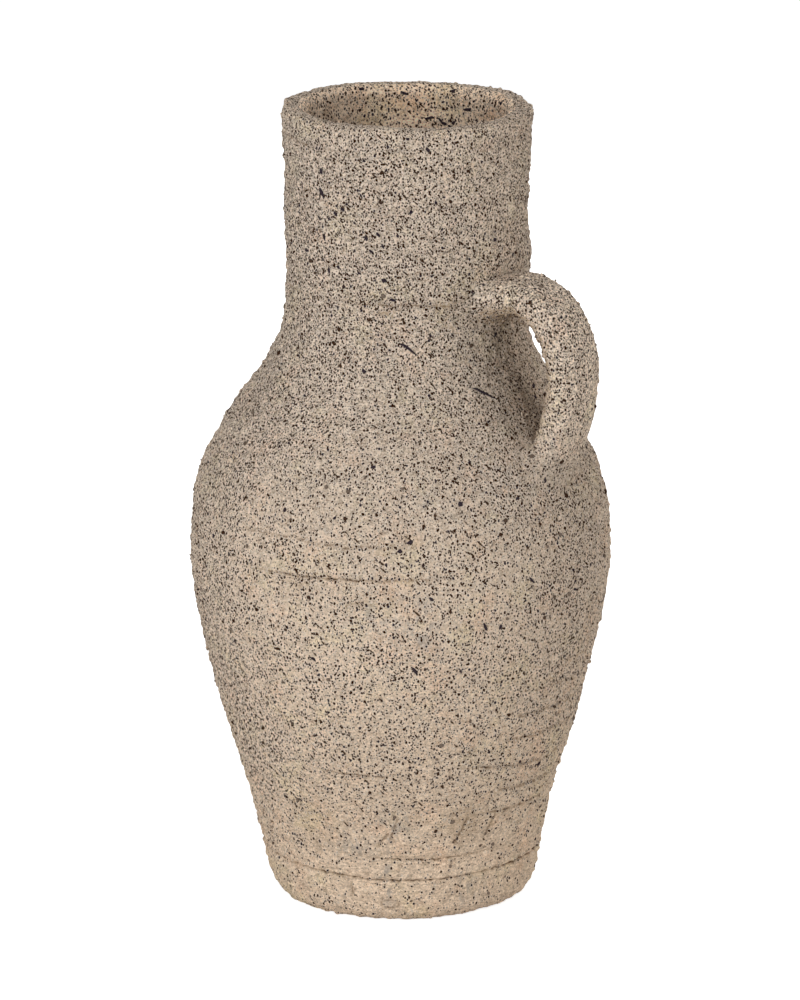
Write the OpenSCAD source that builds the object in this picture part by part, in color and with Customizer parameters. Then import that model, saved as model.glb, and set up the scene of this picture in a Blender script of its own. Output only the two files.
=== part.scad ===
// Hand-built clay vase: coiled wall sections luted together at stepped seams,
// with one strap handle pressed onto the neck and the shoulder.
// Origin: centre of the flat underside. +Z is up and the handle points along +X.

/* [Vessel] */
// Height from the table to the crest of the lip
height = 450; // [400:1:520]
// Radius that the wall would have at the table if its bottom edge were sharp
foot_r = 74.2; // [68:0.1:84]
// Largest outside radius of the belly
belly_r = 117.2; // [104:0.1:132]
// Height at which the belly is widest
belly_z = 205; // [185:1:225]
// Outside radius of the narrowest part of the neck
waist_r = 66; // [58:0.1:74]
// Height at which the neck is narrowest
waist_z = 350; // [335:1:365]
// How much wider the lip is in radius than the neck at its narrowest
rim_flare = 2.4; // [0:0.1:9]
// Thickness of the wall, measured square to its outside
wall = 12.5; // [9:0.1:15]

/* [Base and lip] */
// Thickness of the floor
base_t = 16; // [12:0.5:18]
// Radius of the slab that closes the floor
slab_r = 57; // [50:0.5:60]
// Width of the ledge in the foot band that carries the slab
ledge_w = 6; // [3:0.5:9]
// Height of that ledge above the table
ledge_h = 8; // [5:0.5:10]
// Rounding of the outer edge at the table
foot_round = 12; // [6:0.5:14]
// Rounding of the lip on its outer side
lip_outer_round = 4; // [2:0.5:5]
// Rounding of the lip on the side of the mouth
lip_inner_round = 6; // [3:0.5:7]

/* [Seams] */
// Height of the seam on top of the foot band
foot_seam_z = 27; // [26:0.5:30]
// Height of the seam on top of the heel coil
heel_seam_z = 41.5; // [40:0.5:50]
// Height of the seam on top of the lower wall
lower_seam_z = 97; // [85:1:110]
// Height of the seam on top of the belly wall
belly_seam_z = 212; // [195:1:225]
// Height of the seam between shoulder and neck
neck_seam_z = 352; // [340:1:362]
// Height of the coil that forms the lip
rim_coil_h = 14; // [12:0.5:20]
// How far the inner half of each section reaches down behind the one below
lap_h = 8; // [5:0.5:9]
// Room for the slip between two lapped faces
slip_gap = 0.3; // [0.1:0.05:0.6]
// Depth of the crease that shows at each seam
crease_d = 0.9; // [0.3:0.1:2]
// Height of one side of that crease
crease_h = 2; // [1:0.25:3]

/* [Handle] */
// Height of the middle of the upper root
handle_top_z = 349; // [340:1:358]
// Height of the middle of the lower root
handle_low_z = 263; // [255:1:275]
// Largest distance from the wall to the middle of the strap
handle_standoff = 42.5; // [38:0.5:50]
// Width of the strap, across the finger opening
strap_w = 37; // [28:0.5:44]
// Thickness of the strap, towards the fingers
strap_t = 20; // [14:0.5:24]
// How far the line of the handle runs on into the wall at its roots
root_sink = 12; // [10:0.5:16]

/* [Hidden] */

// Stations of the outside, each a share of the height of its stretch
// and a share of the change of radius along it
body_shares = [[0.13, 0.095], [0.29, 0.27], [0.47, 0.525], [0.73, 0.84], [0.87, 0.965]];
shoulder_shares = [
    [0.24, 0.925], [0.45, 0.672], [0.68, 0.24], [0.79, 0.08], [0.88, 0.018]
];
neck_shares = [[0.25, 0.17], [0.75, 0.72]];

// Points of the line of the handle between its roots, each a share of the
// standoff from the wall and a share of the height between the two roots
handle_shares = [[0.35, 1.065], [0.80, 0.957], [1, 0.715], [0.74, 0.438], [0.18, 0.145]];
// Where the strap begins and ends, as shares of the line of the handle
strap_start_share = 0.19;
strap_end_share = 0.845;
// Extra section of the roots at the wall, and how far it runs along the line
root_flare_share = 0.32;
flare_length_share = 0.22;
// Squareness of the strap's section, where 2 is an ellipse
strap_squareness = 2.6;

// Aimed spacing of the outline's points, and the number of points in an arc
outline_step = height / 72;
arc_points = 8;
strap_sides = 24;
strap_rings = 26;
root_rings = 8;
turn_points = 128;

rim_r = waist_r + rim_flare;
rim_seam_z = height - rim_coil_h;

// Outline of the vessel, as a curve through its stations

function stretch(shares, z0, r0, z1, r1) =
    [for (s = shares) [z0 + s[0] * (z1 - z0), r0 + s[1] * (r1 - r0)]];

// The shoulder's shares count the radius down from the belly to the waist
stations = concat(
    [[0, foot_r]],
    stretch(body_shares, 0, foot_r, belly_z, belly_r),
    [[belly_z, belly_r]],
    [for (s = shoulder_shares)
        [belly_z + s[0] * (waist_z - belly_z), waist_r + s[1] * (belly_r - waist_r)]],
    [[waist_z, waist_r]],
    stretch(neck_shares, waist_z, waist_r, height, rim_r),
    [[height, rim_r]]
);
last_station = len(stations) - 1;

// Slope of the outline at station i, from the stations beside it
function station_slope(i) =
    let (a = stations[max(i - 1, 0)], b = stations[min(i + 1, last_station)])
    (b[1] - a[1]) / (b[0] - a[0]);

// Number of the station that the height z lies above
function station_below(z, i = 0) =
    i >= last_station - 1 || stations[i + 1][0] >= z ? i : station_below(z, i + 1);

// Outside radius of the wall at the height z
function wall_r(z) =
    let (
        i = station_below(z),
        a = stations[i],
        b = stations[i + 1],
        span = b[0] - a[0],
        t = (z - a[0]) / span
    )
    a[1] * (1 + 2 * t) * pow(1 - t, 2) + b[1] * t * t * (3 - 2 * t)
    + span * t * (1 - t) * (station_slope(i) * (1 - t) - station_slope(i + 1) * t);

// Slope of the outside at the height z, over one step of the outline
function wall_slope(z) =
    (wall_r(z + outline_step / 2) - wall_r(z - outline_step / 2)) / outline_step;

// Radius of the inside at the height z, one wall thickness behind the outside
function inside_r(z) = wall_r(z) - wall * sqrt(1 + pow(wall_slope(z), 2));

// Radius of the step in a seam at the height z, halfway through the wall
function lap_r(z) = wall_r(z) - wall / 2;

// Heights from z0 to z1 in even steps near the aimed spacing
function heights(z0, z1) =
    let (n = max(1, round(abs(z1 - z0) / outline_step)))
    [for (i = [0 : n]) z0 + (z1 - z0) * i / n];

function outside_points(z0, z1) = [for (z = heights(z0, z1)) [wall_r(z), z]];
function inside_points(z1, z0) = [for (z = heights(z1, z0)) [inside_r(z), z]];

// Points of an arc round the centre c, from the angle a0 to a1
function arc(c, r, a0, a1) =
    [for (i = [0 : arc_points])
        let (a = a0 + (a1 - a0) * i / arc_points)
        [c[0] + r * cos(a), c[1] + r * sin(a)]];

// Outside between two seams, drawn in at each of them to form the crease
function creased_points(z0, z1) = concat(
    [[wall_r(z0) - crease_d, z0]],
    outside_points(z0 + crease_h, z1 - crease_h),
    [[wall_r(z1) - crease_d, z1]]
);

// Step on top of a section, which takes the tongue of the section above
function rebate_points(z) = [
    [lap_r(z) + slip_gap, z],
    [lap_r(z) + slip_gap, z - lap_h]
];

// Tongue under a section, which hangs behind the section below
function tongue_points(z) = [
    [lap_r(z), z - lap_h + slip_gap],
    [lap_r(z), z]
];

// Inside of a section whose tongue hangs below z0 and whose rebate ends at z1
function inside_between(z0, z1) = inside_points(z1, z0 - lap_h + slip_gap);

// Wall sections

// One ring of wall between the seams at z0 and z1
module wall_section(z0, z1) {
    outline = concat(
        creased_points(z0, z1),
        rebate_points(z1),
        inside_between(z0, z1 - lap_h),
        tongue_points(z0)
    );
    rotate_extrude($fn = turn_points) polygon(outline);
}

module base_slab() {
    plug_r = slab_r - ledge_w;
    outline = [
        [0, 0], [plug_r, 0], [plug_r, ledge_h],
        [slab_r, ledge_h], [slab_r, base_t], [0, base_t]
    ];
    color("burlywood") rotate_extrude($fn = turn_points) polygon(outline);
}

module foot_band() {
    seat_r = slab_r + slip_gap;
    edge = arc([wall_r(foot_round) - foot_round, foot_round], foot_round, -90, 0);
    outline = concat(
        [[seat_r - ledge_w, 0]],
        edge,
        outside_points(foot_round + crease_h, foot_seam_z - crease_h),
        [[wall_r(foot_seam_z) - crease_d, foot_seam_z]],
        rebate_points(foot_seam_z),
        inside_points(foot_seam_z - lap_h, base_t),
        [[seat_r, base_t], [seat_r, ledge_h], [seat_r - ledge_w, ledge_h]]
    );
    color("tan") rotate_extrude($fn = turn_points) polygon(outline);
}

module heel_coil() {
    color("wheat") wall_section(foot_seam_z, heel_seam_z);
}

module lower_wall() {
    color("tan") wall_section(heel_seam_z, lower_seam_z);
}

module belly_wall() {
    color("burlywood") wall_section(lower_seam_z, belly_seam_z);
}

module shoulder_wall() {
    color("tan") wall_section(belly_seam_z, neck_seam_z);
}

module neck_wall() {
    color("burlywood") wall_section(neck_seam_z, rim_seam_z);
}

module rim_coil() {
    outer_top = height - lip_outer_round;
    inner_top = height - lip_inner_round;
    mouth_r = inside_r(inner_top);
    outline = concat(
        [[wall_r(rim_seam_z) - crease_d, rim_seam_z]],
        outside_points(rim_seam_z + crease_h, outer_top - crease_h),
        arc([rim_r - lip_outer_round, outer_top], lip_outer_round, 0, 90),
        arc([mouth_r + lip_inner_round, inner_top], lip_inner_round, 90, 180),
        inside_between(rim_seam_z, inner_top - crease_h),
        tongue_points(rim_seam_z)
    );
    color("wheat") rotate_extrude($fn = turn_points) polygon(outline);
}

// Handle

// Points of the line of the handle, in the plane of the handle
handle_rise = handle_top_z - handle_low_z;
handle_points = concat(
    [[wall_r(handle_top_z) - root_sink, handle_top_z]],
    [for (s = handle_shares)
        let (z = handle_low_z + s[1] * handle_rise)
        [wall_r(z) + s[0] * handle_standoff, z]],
    [[wall_r(handle_low_z) - root_sink, handle_low_z - root_sink]]
);
last_handle_point = len(handle_points) - 1;

// Direction of the line at its point i
function handle_pull(i) =
    let (a = max(i - 1, 0), b = min(i + 1, last_handle_point))
    (handle_points[b] - handle_points[a]) / (b - a);

// Point of the line at the share u of its length, from the upper root down
function handle_point(u) =
    let (
        i = min(floor(u * last_handle_point), last_handle_point - 1),
        t = u * last_handle_point - i
    )
    handle_points[i] * (1 + 2 * t) * pow(1 - t, 2)
    + handle_points[i + 1] * t * t * (3 - 2 * t)
    + (handle_pull(i) * (1 - t) - handle_pull(i + 1) * t) * t * (1 - t);

// Unit vector across the line at u, towards the outside of the bend
function handle_across(u) =
    let (
        du = 1 / (last_handle_point * strap_rings),
        d = handle_point(min(u + du, 1)) - handle_point(max(u - du, 0))
    )
    [-d[1], d[0]] / norm(d);

// How much wider and thicker the section is at u than the bare strap
function flare(u) =
    let (near = max(0, 1 - min(u, 1 - u) / flare_length_share))
    1 + root_flare_share * near * near;

function rounded(v) = sign(v) * pow(abs(v), 2 / strap_squareness);

// Section of the handle at u
function handle_ring(u) =
    let (
        c = handle_point(u),
        across = handle_across(u),
        half_t = strap_t / 2 * flare(u),
        half_w = strap_w / 2 * flare(u)
    )
    [for (k = [0 : strap_sides - 1])
        let (
            a = 360 * k / strap_sides,
            out = half_t * rounded(cos(a)),
            side = half_w * rounded(sin(a))
        )
        [c[0] + across[0] * out, side, c[1] + across[1] * out]];

// Number of corner k of ring i
function corner(i, k) = i * strap_sides + k % strap_sides;

// Stretch of the handle between the shares u0 and u1 of its line
module handle_stretch(u0, u1, rings) {
    points = [for (i = [0 : rings]) each handle_ring(u0 + (u1 - u0) * i / rings)];
    sides = [for (i = [0 : rings - 1]) for (k = [0 : strap_sides - 1])
        each [
            [corner(i, k), corner(i + 1, k), corner(i + 1, k + 1)],
            [corner(i, k), corner(i + 1, k + 1), corner(i, k + 1)]
        ]];
    first_cap = [for (k = [1 : strap_sides - 2])
        [corner(0, 0), corner(0, k), corner(0, k + 1)]];
    last_cap = [for (k = [1 : strap_sides - 2])
        [corner(rings, 0), corner(rings, k + 1), corner(rings, k)]];
    polyhedron(points, concat(sides, first_cap, last_cap));
}

// The vessel's outside, filled, over the heights that a root reaches
module vessel_fill(z0, z1) {
    outline = concat([[0, z0]], outside_points(z0, z1), [[0, z1]]);
    rotate_extrude($fn = turn_points) polygon(outline);
}

module handle_strap() {
    color("tan") handle_stretch(strap_start_share, strap_end_share, strap_rings);
}

module upper_root() {
    color("wheat") difference() {
        handle_stretch(0, strap_start_share, root_rings);
        vessel_fill(handle_top_z - strap_w, handle_top_z + strap_w);
    }
}

module lower_root() {
    color("wheat") difference() {
        handle_stretch(strap_end_share, 1, root_rings);
        vessel_fill(handle_low_z - strap_w - root_sink, handle_low_z + strap_w);
    }
}

base_slab();
foot_band();
heel_coil();
lower_wall();
belly_wall();
shoulder_wall();
neck_wall();
rim_coil();
handle_strap();
upper_root();
lower_root();
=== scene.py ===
"""Hand-built clay vase, dressed around its fixed CAD frame.

Every shape is worked out in millimetres in the frame of the part, with +Z up and the handle
along +X, and goes into the scene in metres. A bearing is an angle in degrees round the vase,
counted from the handle.
"""

import logging
from dataclasses import dataclass, field
from enum import Enum
from itertools import product

import bmesh
import bpy
import numpy as np
from mathutils import Matrix, Vector


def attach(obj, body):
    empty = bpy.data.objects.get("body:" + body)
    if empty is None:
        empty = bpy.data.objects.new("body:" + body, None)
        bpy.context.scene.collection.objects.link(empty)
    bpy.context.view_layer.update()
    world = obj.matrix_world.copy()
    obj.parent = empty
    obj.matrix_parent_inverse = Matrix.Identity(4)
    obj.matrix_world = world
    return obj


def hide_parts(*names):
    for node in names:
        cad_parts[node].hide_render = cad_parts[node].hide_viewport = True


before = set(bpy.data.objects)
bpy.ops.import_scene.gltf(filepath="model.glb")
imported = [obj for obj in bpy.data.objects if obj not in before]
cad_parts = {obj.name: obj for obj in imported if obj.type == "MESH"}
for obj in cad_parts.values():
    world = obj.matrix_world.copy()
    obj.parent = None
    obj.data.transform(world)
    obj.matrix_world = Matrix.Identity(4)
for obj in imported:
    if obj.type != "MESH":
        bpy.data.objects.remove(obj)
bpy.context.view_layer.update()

Array = np.ndarray
Row = Array | float
Levels = tuple[float, ...]
Pair = tuple[float, float]
Triple = tuple[float, float, float]
Track = tuple[Triple, ...]
log = logging.getLogger("clay_vase")

MM = 0.001
BODY = "root"

# How fast the finer swings of an uneven wave weaken, and what brings it to about -1 to 1
WAVE_FALL, WAVE_LEVEL = 0.6, 2.4
# What brings the noise in space to about -1 to 1
NOISE_LEVEL = 1.7
# Half of the length in mm over which the outline's slope is taken
SLOPE_STEP = 1.5


class Mark(Enum):
    """Numbers that each point of the clay carries for its material."""

    # Painted shade in the creases, tool marks and imprint, and where the handle's roots meet the
    # wall
    CREASE_SHADE = "pressed"
    # Rust stains, and painted warm shade beside and under the handle
    STAIN_AND_SHADE = "stain"
    SMOKE = "smoke"
    PEPPER = "pepper"
    GRAIN = "grain"
    # Lighter or darker clay, partly painted light and shade inside the mouth and on the handle
    TONE_AND_LIGHT = "fired"


Marks = dict[Mark, Array]


class Finish(Enum):
    """Finishes of the clay, in the order of a piece's material slots."""

    OUTSIDE = 0
    MOUTH = 1
    BARE = 2


def smooth(low: float, high: float, value: Array) -> Array:
    """Smooth step from 0 at low to 1 at high."""
    t = np.clip((value - low) / (high - low), 0.0, 1.0)
    return t * t * (3.0 - 2.0 * t)


def round_wave(
    bearing: Array, seed: int, counts: tuple[int, ...] = (2, 3, 5, 8, 13, 21, 34)
) -> Array:
    """Uneven wave of about -1 to 1 that closes after a full turn.

    Args:
        bearing: Bearings in degrees.
        seed: Seed of the wave's phases.
        counts: How often its parts swing in a full turn.

    Returns:
        The wave's height at each bearing.
    """
    rng = np.random.default_rng(seed)
    total = np.zeros_like(bearing)
    for count in counts:
        phase = rng.uniform(0.0, 2.0 * np.pi)
        total += np.sin(np.radians(bearing) * count + phase) / (count / counts[0]) ** WAVE_FALL
    return total / WAVE_LEVEL


@dataclass(frozen=True)
class GradientNoise:
    """Seeded noise in space, smooth and about -1 to 1."""

    seed: int
    table: Array = field(init=False, repr=False)
    gradients: Array = field(init=False, repr=False)

    def __post_init__(self) -> None:
        """Draws the table and the gradients from the seed."""
        rng = np.random.default_rng(self.seed)
        gradients = rng.normal(size=(256, 3)).astype(np.float32)
        gradients /= np.linalg.norm(gradients, axis=1, keepdims=True)
        object.__setattr__(self, "table", rng.permutation(256).astype(np.int32))
        object.__setattr__(self, "gradients", gradients)

    def at(self, points: Array, wavelength: float | Triple) -> Array:
        """Noise at points.

        Args:
            points: Points in mm, coordinates last.
            wavelength: Size of the noise's cells in mm, the same or one per axis.

        Returns:
            One number per point.
        """
        shape = points.shape[:-1]
        scaled = (points / np.asarray(wavelength)).reshape(-1, 3)
        cell = np.floor(scaled).astype(np.int32)
        part = (scaled - cell).astype(np.float32)
        ease = part**3 * (part * (part * 6.0 - 15.0) + 10.0)
        total = np.zeros(len(part), np.float32)
        for corner in product((0, 1), repeat=3):
            near = (cell + np.array(corner, np.int32)) & 255
            pick = self.table[near[:, 0]]
            pick = self.table[(pick + near[:, 1]) & 255]
            pick = self.table[(pick + near[:, 2]) & 255]
            offset = part - np.array(corner, np.float32)
            value = np.einsum("ij,ij->i", self.gradients[pick], offset)
            for axis, side in enumerate(corner):
                value = value * (ease[:, axis] if side else 1.0 - ease[:, axis])
            total += value
        return (total * NOISE_LEVEL).reshape(shape)


@dataclass(frozen=True)
class Outline:
    """Clean outline of the vessel, the same as the solids have."""

    height: float = 450.0
    foot_r: float = 74.2
    belly_r: float = 117.2
    belly_z: float = 205.0
    waist_r: float = 66.0
    waist_z: float = 350.0
    rim_flare: float = 2.4
    lip_round: float = 6.0
    wall: float = 12.5
    body_shares: tuple[Pair, ...] = (
        (0.13, 0.095), (0.29, 0.27), (0.47, 0.525), (0.73, 0.84), (0.87, 0.965)
    )
    shoulder_shares: tuple[Pair, ...] = (
        (0.24, 0.925), (0.45, 0.672), (0.68, 0.24), (0.79, 0.08), (0.88, 0.018)
    )
    neck_shares: tuple[Pair, ...] = ((0.25, 0.17), (0.75, 0.72))
    stations: Array = field(init=False, repr=False)
    slopes: Array = field(init=False, repr=False)

    @property
    def rim_r(self) -> float:
        """Outside radius at the lip."""
        return self.waist_r + self.rim_flare

    def __post_init__(self) -> None:
        """Works out the stations of the outline and the slope at each of them."""
        body = [
            (s * self.belly_z, self.foot_r + q * (self.belly_r - self.foot_r))
            for s, q in self.body_shares
        ]
        fall = self.waist_z - self.belly_z
        shoulder = [
            (self.belly_z + s * fall, self.waist_r + q * (self.belly_r - self.waist_r))
            for s, q in self.shoulder_shares
        ]
        rise = self.height - self.waist_z
        neck = [
            (self.waist_z + s * rise, self.waist_r + q * self.rim_flare)
            for s, q in self.neck_shares
        ]
        stations = np.array(
            [(0.0, self.foot_r), *body, (self.belly_z, self.belly_r), *shoulder,
             (self.waist_z, self.waist_r), *neck, (self.height, self.rim_r)]
        )
        ahead = np.vstack([stations[1:], stations[-1:]])
        behind = np.vstack([stations[:1], stations[:-1]])
        slopes = (ahead[:, 1] - behind[:, 1]) / (ahead[:, 0] - behind[:, 0])
        object.__setattr__(self, "stations", stations)
        object.__setattr__(self, "slopes", slopes)

    def radius(self, z: Array) -> Array:
        """Outside radius at each height.

        Args:
            z: Heights in mm.

        Returns:
            Radii in mm.
        """
        z = np.asarray(z, float)
        heights, radii = self.stations.T
        i = np.clip(np.searchsorted(heights, z) - 1, 0, len(heights) - 2)
        span = heights[i + 1] - heights[i]
        t = (z - heights[i]) / span
        return (
            radii[i] * (1 + 2 * t) * (1 - t) ** 2
            + radii[i + 1] * t * t * (3 - 2 * t)
            + span * t * (1 - t) * (self.slopes[i] * (1 - t) - self.slopes[i + 1] * t)
        )

    def slope(self, z: Array) -> Array:
        """Slope of the outside at each height."""
        return (self.radius(z + SLOPE_STEP) - self.radius(z - SLOPE_STEP)) / (2 * SLOPE_STEP)

    def inside(self, z: Array) -> Array:
        """Inside radius at each height, one wall thickness behind the outside."""
        return self.radius(z) - self.wall * np.sqrt(1 + self.slope(z) ** 2)


@dataclass(frozen=True)
class Crease:
    """Crease that runs round the wall, through (bearing, height, strength) points."""

    track: Track
    depth: float = 0.8
    half_width: float = 0.9
    lip: float = 0.3
    wander: float = 0.5
    jag: float = 0.32
    jag_counts: tuple[int, ...] = (47, 58, 71, 89, 113, 137)
    fade: Pair = (0.8, 0.3)
    jag_fade: Pair = (0.85, 0.35)
    ridge_offset: float = 2.1
    ridge_spread: float = 1.5
    seed: int = 0

    def height(self, bearing: Array) -> Array:
        """Height of the crease.

        Args:
            bearing: Bearings in degrees.

        Returns:
            Heights in mm.
        """
        bearings, heights, _ = zip(*self.track)
        z = np.interp(bearing, bearings, heights)
        jags = self.jag * round_wave(bearing, self.seed + 2, self.jag_counts)
        return z + self.wander * round_wave(bearing, self.seed) + jags

    def strength(self, bearing: Array) -> Array:
        """Strength of the crease at each bearing, 0 to 1, and 0 past its ends."""
        bearings, _, strengths = zip(*self.track)
        return np.interp(bearing, bearings, strengths, left=0.0, right=0.0)

    def press(self, bearing: Array, z: Array) -> tuple[Array, Array]:
        """What the crease does to the wall.

        Args:
            bearing: Bearings in degrees.
            z: Heights in mm.

        Returns:
            The wall's rise in mm, and how deep each point lies in the crease, 0 to 1.
        """
        level, swing = self.fade
        strength = self.strength(bearing) * (level + swing * round_wave(bearing, self.seed + 1))
        level, swing = self.jag_fade
        strength *= level + swing * round_wave(bearing, self.seed + 3, self.jag_counts)
        away = (z - self.height(bearing)) / self.half_width
        groove = np.exp(-(away**2)) * strength
        ridge = np.exp(-((away + self.ridge_offset) ** 2) / self.ridge_spread) * strength
        return self.lip * ridge - self.depth * groove, groove


def creases(*rows: tuple[Track, float, float, float, int]) -> tuple[Crease, ...]:
    """Creases from rows of track, depth, half width, lip and seed."""
    return tuple(Crease(*row[:-1], seed=row[-1]) for row in rows)


@dataclass(frozen=True)
class Gouge:
    """Straight tool mark on the wall between two (bearing, height) points."""

    start: Pair
    end: Pair
    radius: float
    depth: float = 0.7
    half_width: float = 0.9
    lip: float = 0.4
    ridge_offset: float = 2.0
    ridge_spread: float = 1.6
    taper: float = 0.12

    def press(self, bearing: Array, z: Array) -> tuple[Array, Array]:
        """What the mark does to the wall.

        Args:
            bearing: Bearings in degrees.
            z: Heights in mm.

        Returns:
            The wall's rise in mm, and how deep each point lies in the mark, 0 to 1.
        """
        across = np.radians(bearing - self.start[0]) * self.radius
        up = z - self.start[1]
        run = np.array(
            [np.radians(self.end[0] - self.start[0]) * self.radius, self.end[1] - self.start[1]]
        )
        length = np.hypot(*run)
        run = run / length
        along = (across * run[0] + up * run[1]) / length
        away = (across * run[1] - up * run[0]) / self.half_width
        ends = smooth(-self.taper, self.taper, along)
        ends = ends * smooth(1 + self.taper, 1 - self.taper, along)
        groove = np.exp(-(away**2)) * ends
        ridge = np.exp(-((away - self.ridge_offset) ** 2) / self.ridge_spread) * ends
        return self.lip * ridge - self.depth * groove, groove


@dataclass(frozen=True)
class Patch:
    """Soft round patch on the wall, where a mark is stronger or weaker."""

    bearing: float
    z: float
    wide: float
    high: float
    amount: float

    def at(self, bearing: Array, z: Array, radius: Array) -> Array:
        """Amount at each point of the wall.

        Args:
            bearing: Bearings in degrees.
            z: Heights in mm.
            radius: Radii of the wall in mm.

        Returns:
            The patch's share of its amount.
        """
        turn = (bearing - self.bearing + 180.0) % 360.0 - 180.0
        across = np.radians(turn) * radius / self.wide
        return self.amount * np.exp(-(across**2) - ((z - self.z) / self.high) ** 2)


def patches(*rows: tuple[float, ...]) -> tuple[Patch, ...]:
    """Patches from rows of bearing, height, half width, half height and amount."""
    return tuple(Patch(*row) for row in rows)


def total(group: tuple[Patch, ...], bearing: Array, z: Array, radius: Array) -> Array:
    """Sum of what a group of patches gives at points of the wall."""
    return sum(patch.at(bearing, z, radius) for patch in group)


FOOT_SEAM = Crease(
    track=((-180, 26.8, 0.8), (-90, 27.2, 1.0), (-55, 26.6, 1.0), (0, 27.4, 1.0), (180, 26.8, 0.8)),
    depth=1.15, half_width=0.75, lip=0.45, wander=0.35, seed=11,
)
HEEL_SEAM = Crease(
    track=((-180, 41, 0.25), (-75, 41, 0.25), (-60, 40.4, 0.9), (-40, 39.6, 1.0),
           (-18, 41, 0.9), (-5, 41.4, 0.25), (180, 41, 0.25)),
    depth=0.8, half_width=0.8, lip=0.5, wander=0.3, seed=12,
)
LOWER_SEAM = Crease(
    track=((-180, 97, 0.3), (-95, 96, 0.1), (-60, 97, 0.1), (-34, 96.5, 0.2), (-28, 95.6, 0.9),
           (-12, 92.5, 1.0), (6, 90, 0.9), (20, 93, 0.4), (60, 97, 0.3), (180, 97, 0.3)),
    depth=0.75, half_width=1.1, lip=0.5, wander=0.35, seed=13,
)
BELLY_SEAM = Crease(
    track=((-180, 212, 0.35), (-100, 209, 0.3), (-92, 209.6, 0.75), (-76, 210.4, 0.9),
           (-60, 211.4, 0.8), (-45, 212.6, 0.75), (-36, 213, 0.2), (0, 212, 0.15),
           (180, 212, 0.35)),
    depth=0.8, half_width=0.8, lip=0.4, wander=0.5, seed=14,
)
NECK_SEAM = Crease(
    track=((-180, 352, 0.5), (-113, 352, 0.6), (-59, 351.4, 0.9), (-55.7, 353, 0.9),
           (-50, 352.2, 1.0), (-40, 350.8, 0.8), (-30, 351, 0.3), (30, 351, 0.3), (180, 352, 0.5)),
    depth=0.55, half_width=1.0, lip=0.3, wander=0.7, seed=15,
)
RIM_SEAM = Crease(
    track=((-180, 436, 0.5), (-125, 436, 0.8), (-90, 435.5, 0.3), (-50, 436, 0.12),
           (0, 436, 0.2), (90, 436, 0.4), (180, 436, 0.5)),
    depth=0.5, half_width=1.3, lip=0.1, wander=0.6, seed=16,
)

WALL_CREASES = (
    Crease(track=((-62, 42.6, 0.0), (-56, 42.2, 0.5), (-42, 41.6, 0.5), (-36, 41.8, 0.0)),
           depth=0.4, half_width=0.6, lip=0.15, wander=0.25, seed=21),
    *creases(
        (((-84, 94.4, 0), (-80, 94, 0.8), (-60, 92.3, 0.8), (-55, 92, 0)), 0.5, 0.8, 0.25, 22),
        (((-65, 87, 0), (-62, 87, 0.8), (-57, 87, 0.8), (-54, 87, 0)), 0.45, 0.8, 0.2, 23),
        (((-38, 107, 0), (-35, 107, 0.8), (-30, 107, 0.8), (-26, 107.4, 0)), 0.5, 1.0, 0.3, 24),
        (((-23, 110, 0), (-17, 110, 0.8), (8, 108, 0.8), (24, 108, 0)), 0.6, 1.3, 0.6, 25),
        (((-21, 124.4, 0), (-15, 124, 0.9), (2, 123, 0.9), (22, 122, 0)), 0.6, 1.3, 0.6, 26),
        (((-20, 139.8, 0), (-14, 139.4, 0.9), (5, 136.6, 0.9), (24, 136, 0)), 0.6, 1.3, 0.6, 27),
        (((-26, 65.4, 0), (-20, 65, 0.8), (4, 65, 0.9), (30, 65, 0)), 0.5, 1.2, 0.7, 28),
        (((-24, 78.5, 0), (-18, 78, 0.7), (4, 77, 0.8), (30, 78, 0)), 0.5, 1.2, 0.6, 29),
        (((-22, 152.5, 0), (-12, 152, 0.6), (8, 150, 0.6), (24, 150, 0)), 0.45, 1.3, 0.4, 30),
        (((-88, 214.6, 0), (-82, 214.4, 0.4), (-76, 214.6, 0)), 0.4, 0.7, 0.15, 32),
    ),
    Crease(track=((-105.1, 228.9, 0.0), (-99.0, 229.8, 0.7), (-83.7, 230.2, 0.8),
                  (-70.4, 228.4, 0.9), (-55.5, 229.9, 0.6), (-47.5, 230.8, 0.0)),
           depth=0.62, half_width=0.9, lip=0.4, wander=0.4, seed=39),
    Crease(track=((-6, 341.5, 0.0), (3, 337.6, 0.8), (8, 335.3, 1.0), (11, 334.4, 1.0),
                  (17, 332.2, 1.0), (26, 328.4, 0.9), (34, 326.0, 0.0)),
           depth=0.4, half_width=0.9, lip=0.1, wander=0.1, jag=0.1, seed=38),
    *creases(
        (((60, 58, 0), (90, 57, 0.7), (130, 59, 0.7), (160, 60, 0)), 0.5, 1.1, 0.4, 33),
        (((110, 128, 0), (130, 127, 0.7), (165, 129, 0.7), (178, 129, 0)), 0.5, 1.2, 0.4, 34),
        (((40, 240, 0), (60, 241, 0.7), (85, 239, 0.7), (100, 239, 0)), 0.5, 0.9, 0.3, 35),
        (((-160, 178, 0), (-150, 178, 0.6), (-128, 176, 0.6), (-118, 176, 0)), 0.45, 1.0, 0.3, 36),
        (((120, 388, 0), (135, 388, 0.5), (160, 390, 0.5), (172, 390, 0)), 0.4, 1.0, 0.25, 37),
    ),
)

TOOL_MARKS = (
    Gouge((-33.9, 48.2), (-29.0, 63.0), 83, 0.9, 0.7, 0.6),
    Gouge((-63.7, 47.3), (-59.3, 56.3), 82, 1.3, 0.8, 0.5),
    Gouge((-20.3, 49.8), (-16.8, 65.4), 83, 0.45, 0.7, 0.5),
    Gouge((-58.5, 53.0), (-55.5, 66.0), 83, 0.4, 0.8, 0.2),
    Gouge((-76.0, 24.0), (-75.2, 15.0), 78, 0.4, 0.7, 0.2),
    Gouge((150.0, 70.0), (141.0, 92.0), 90, 0.7, 1.0, 0.5),
    Gouge((75.0, 150.0), (84.0, 164.0), 112, 0.5, 0.9, 0.3),
)


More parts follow.
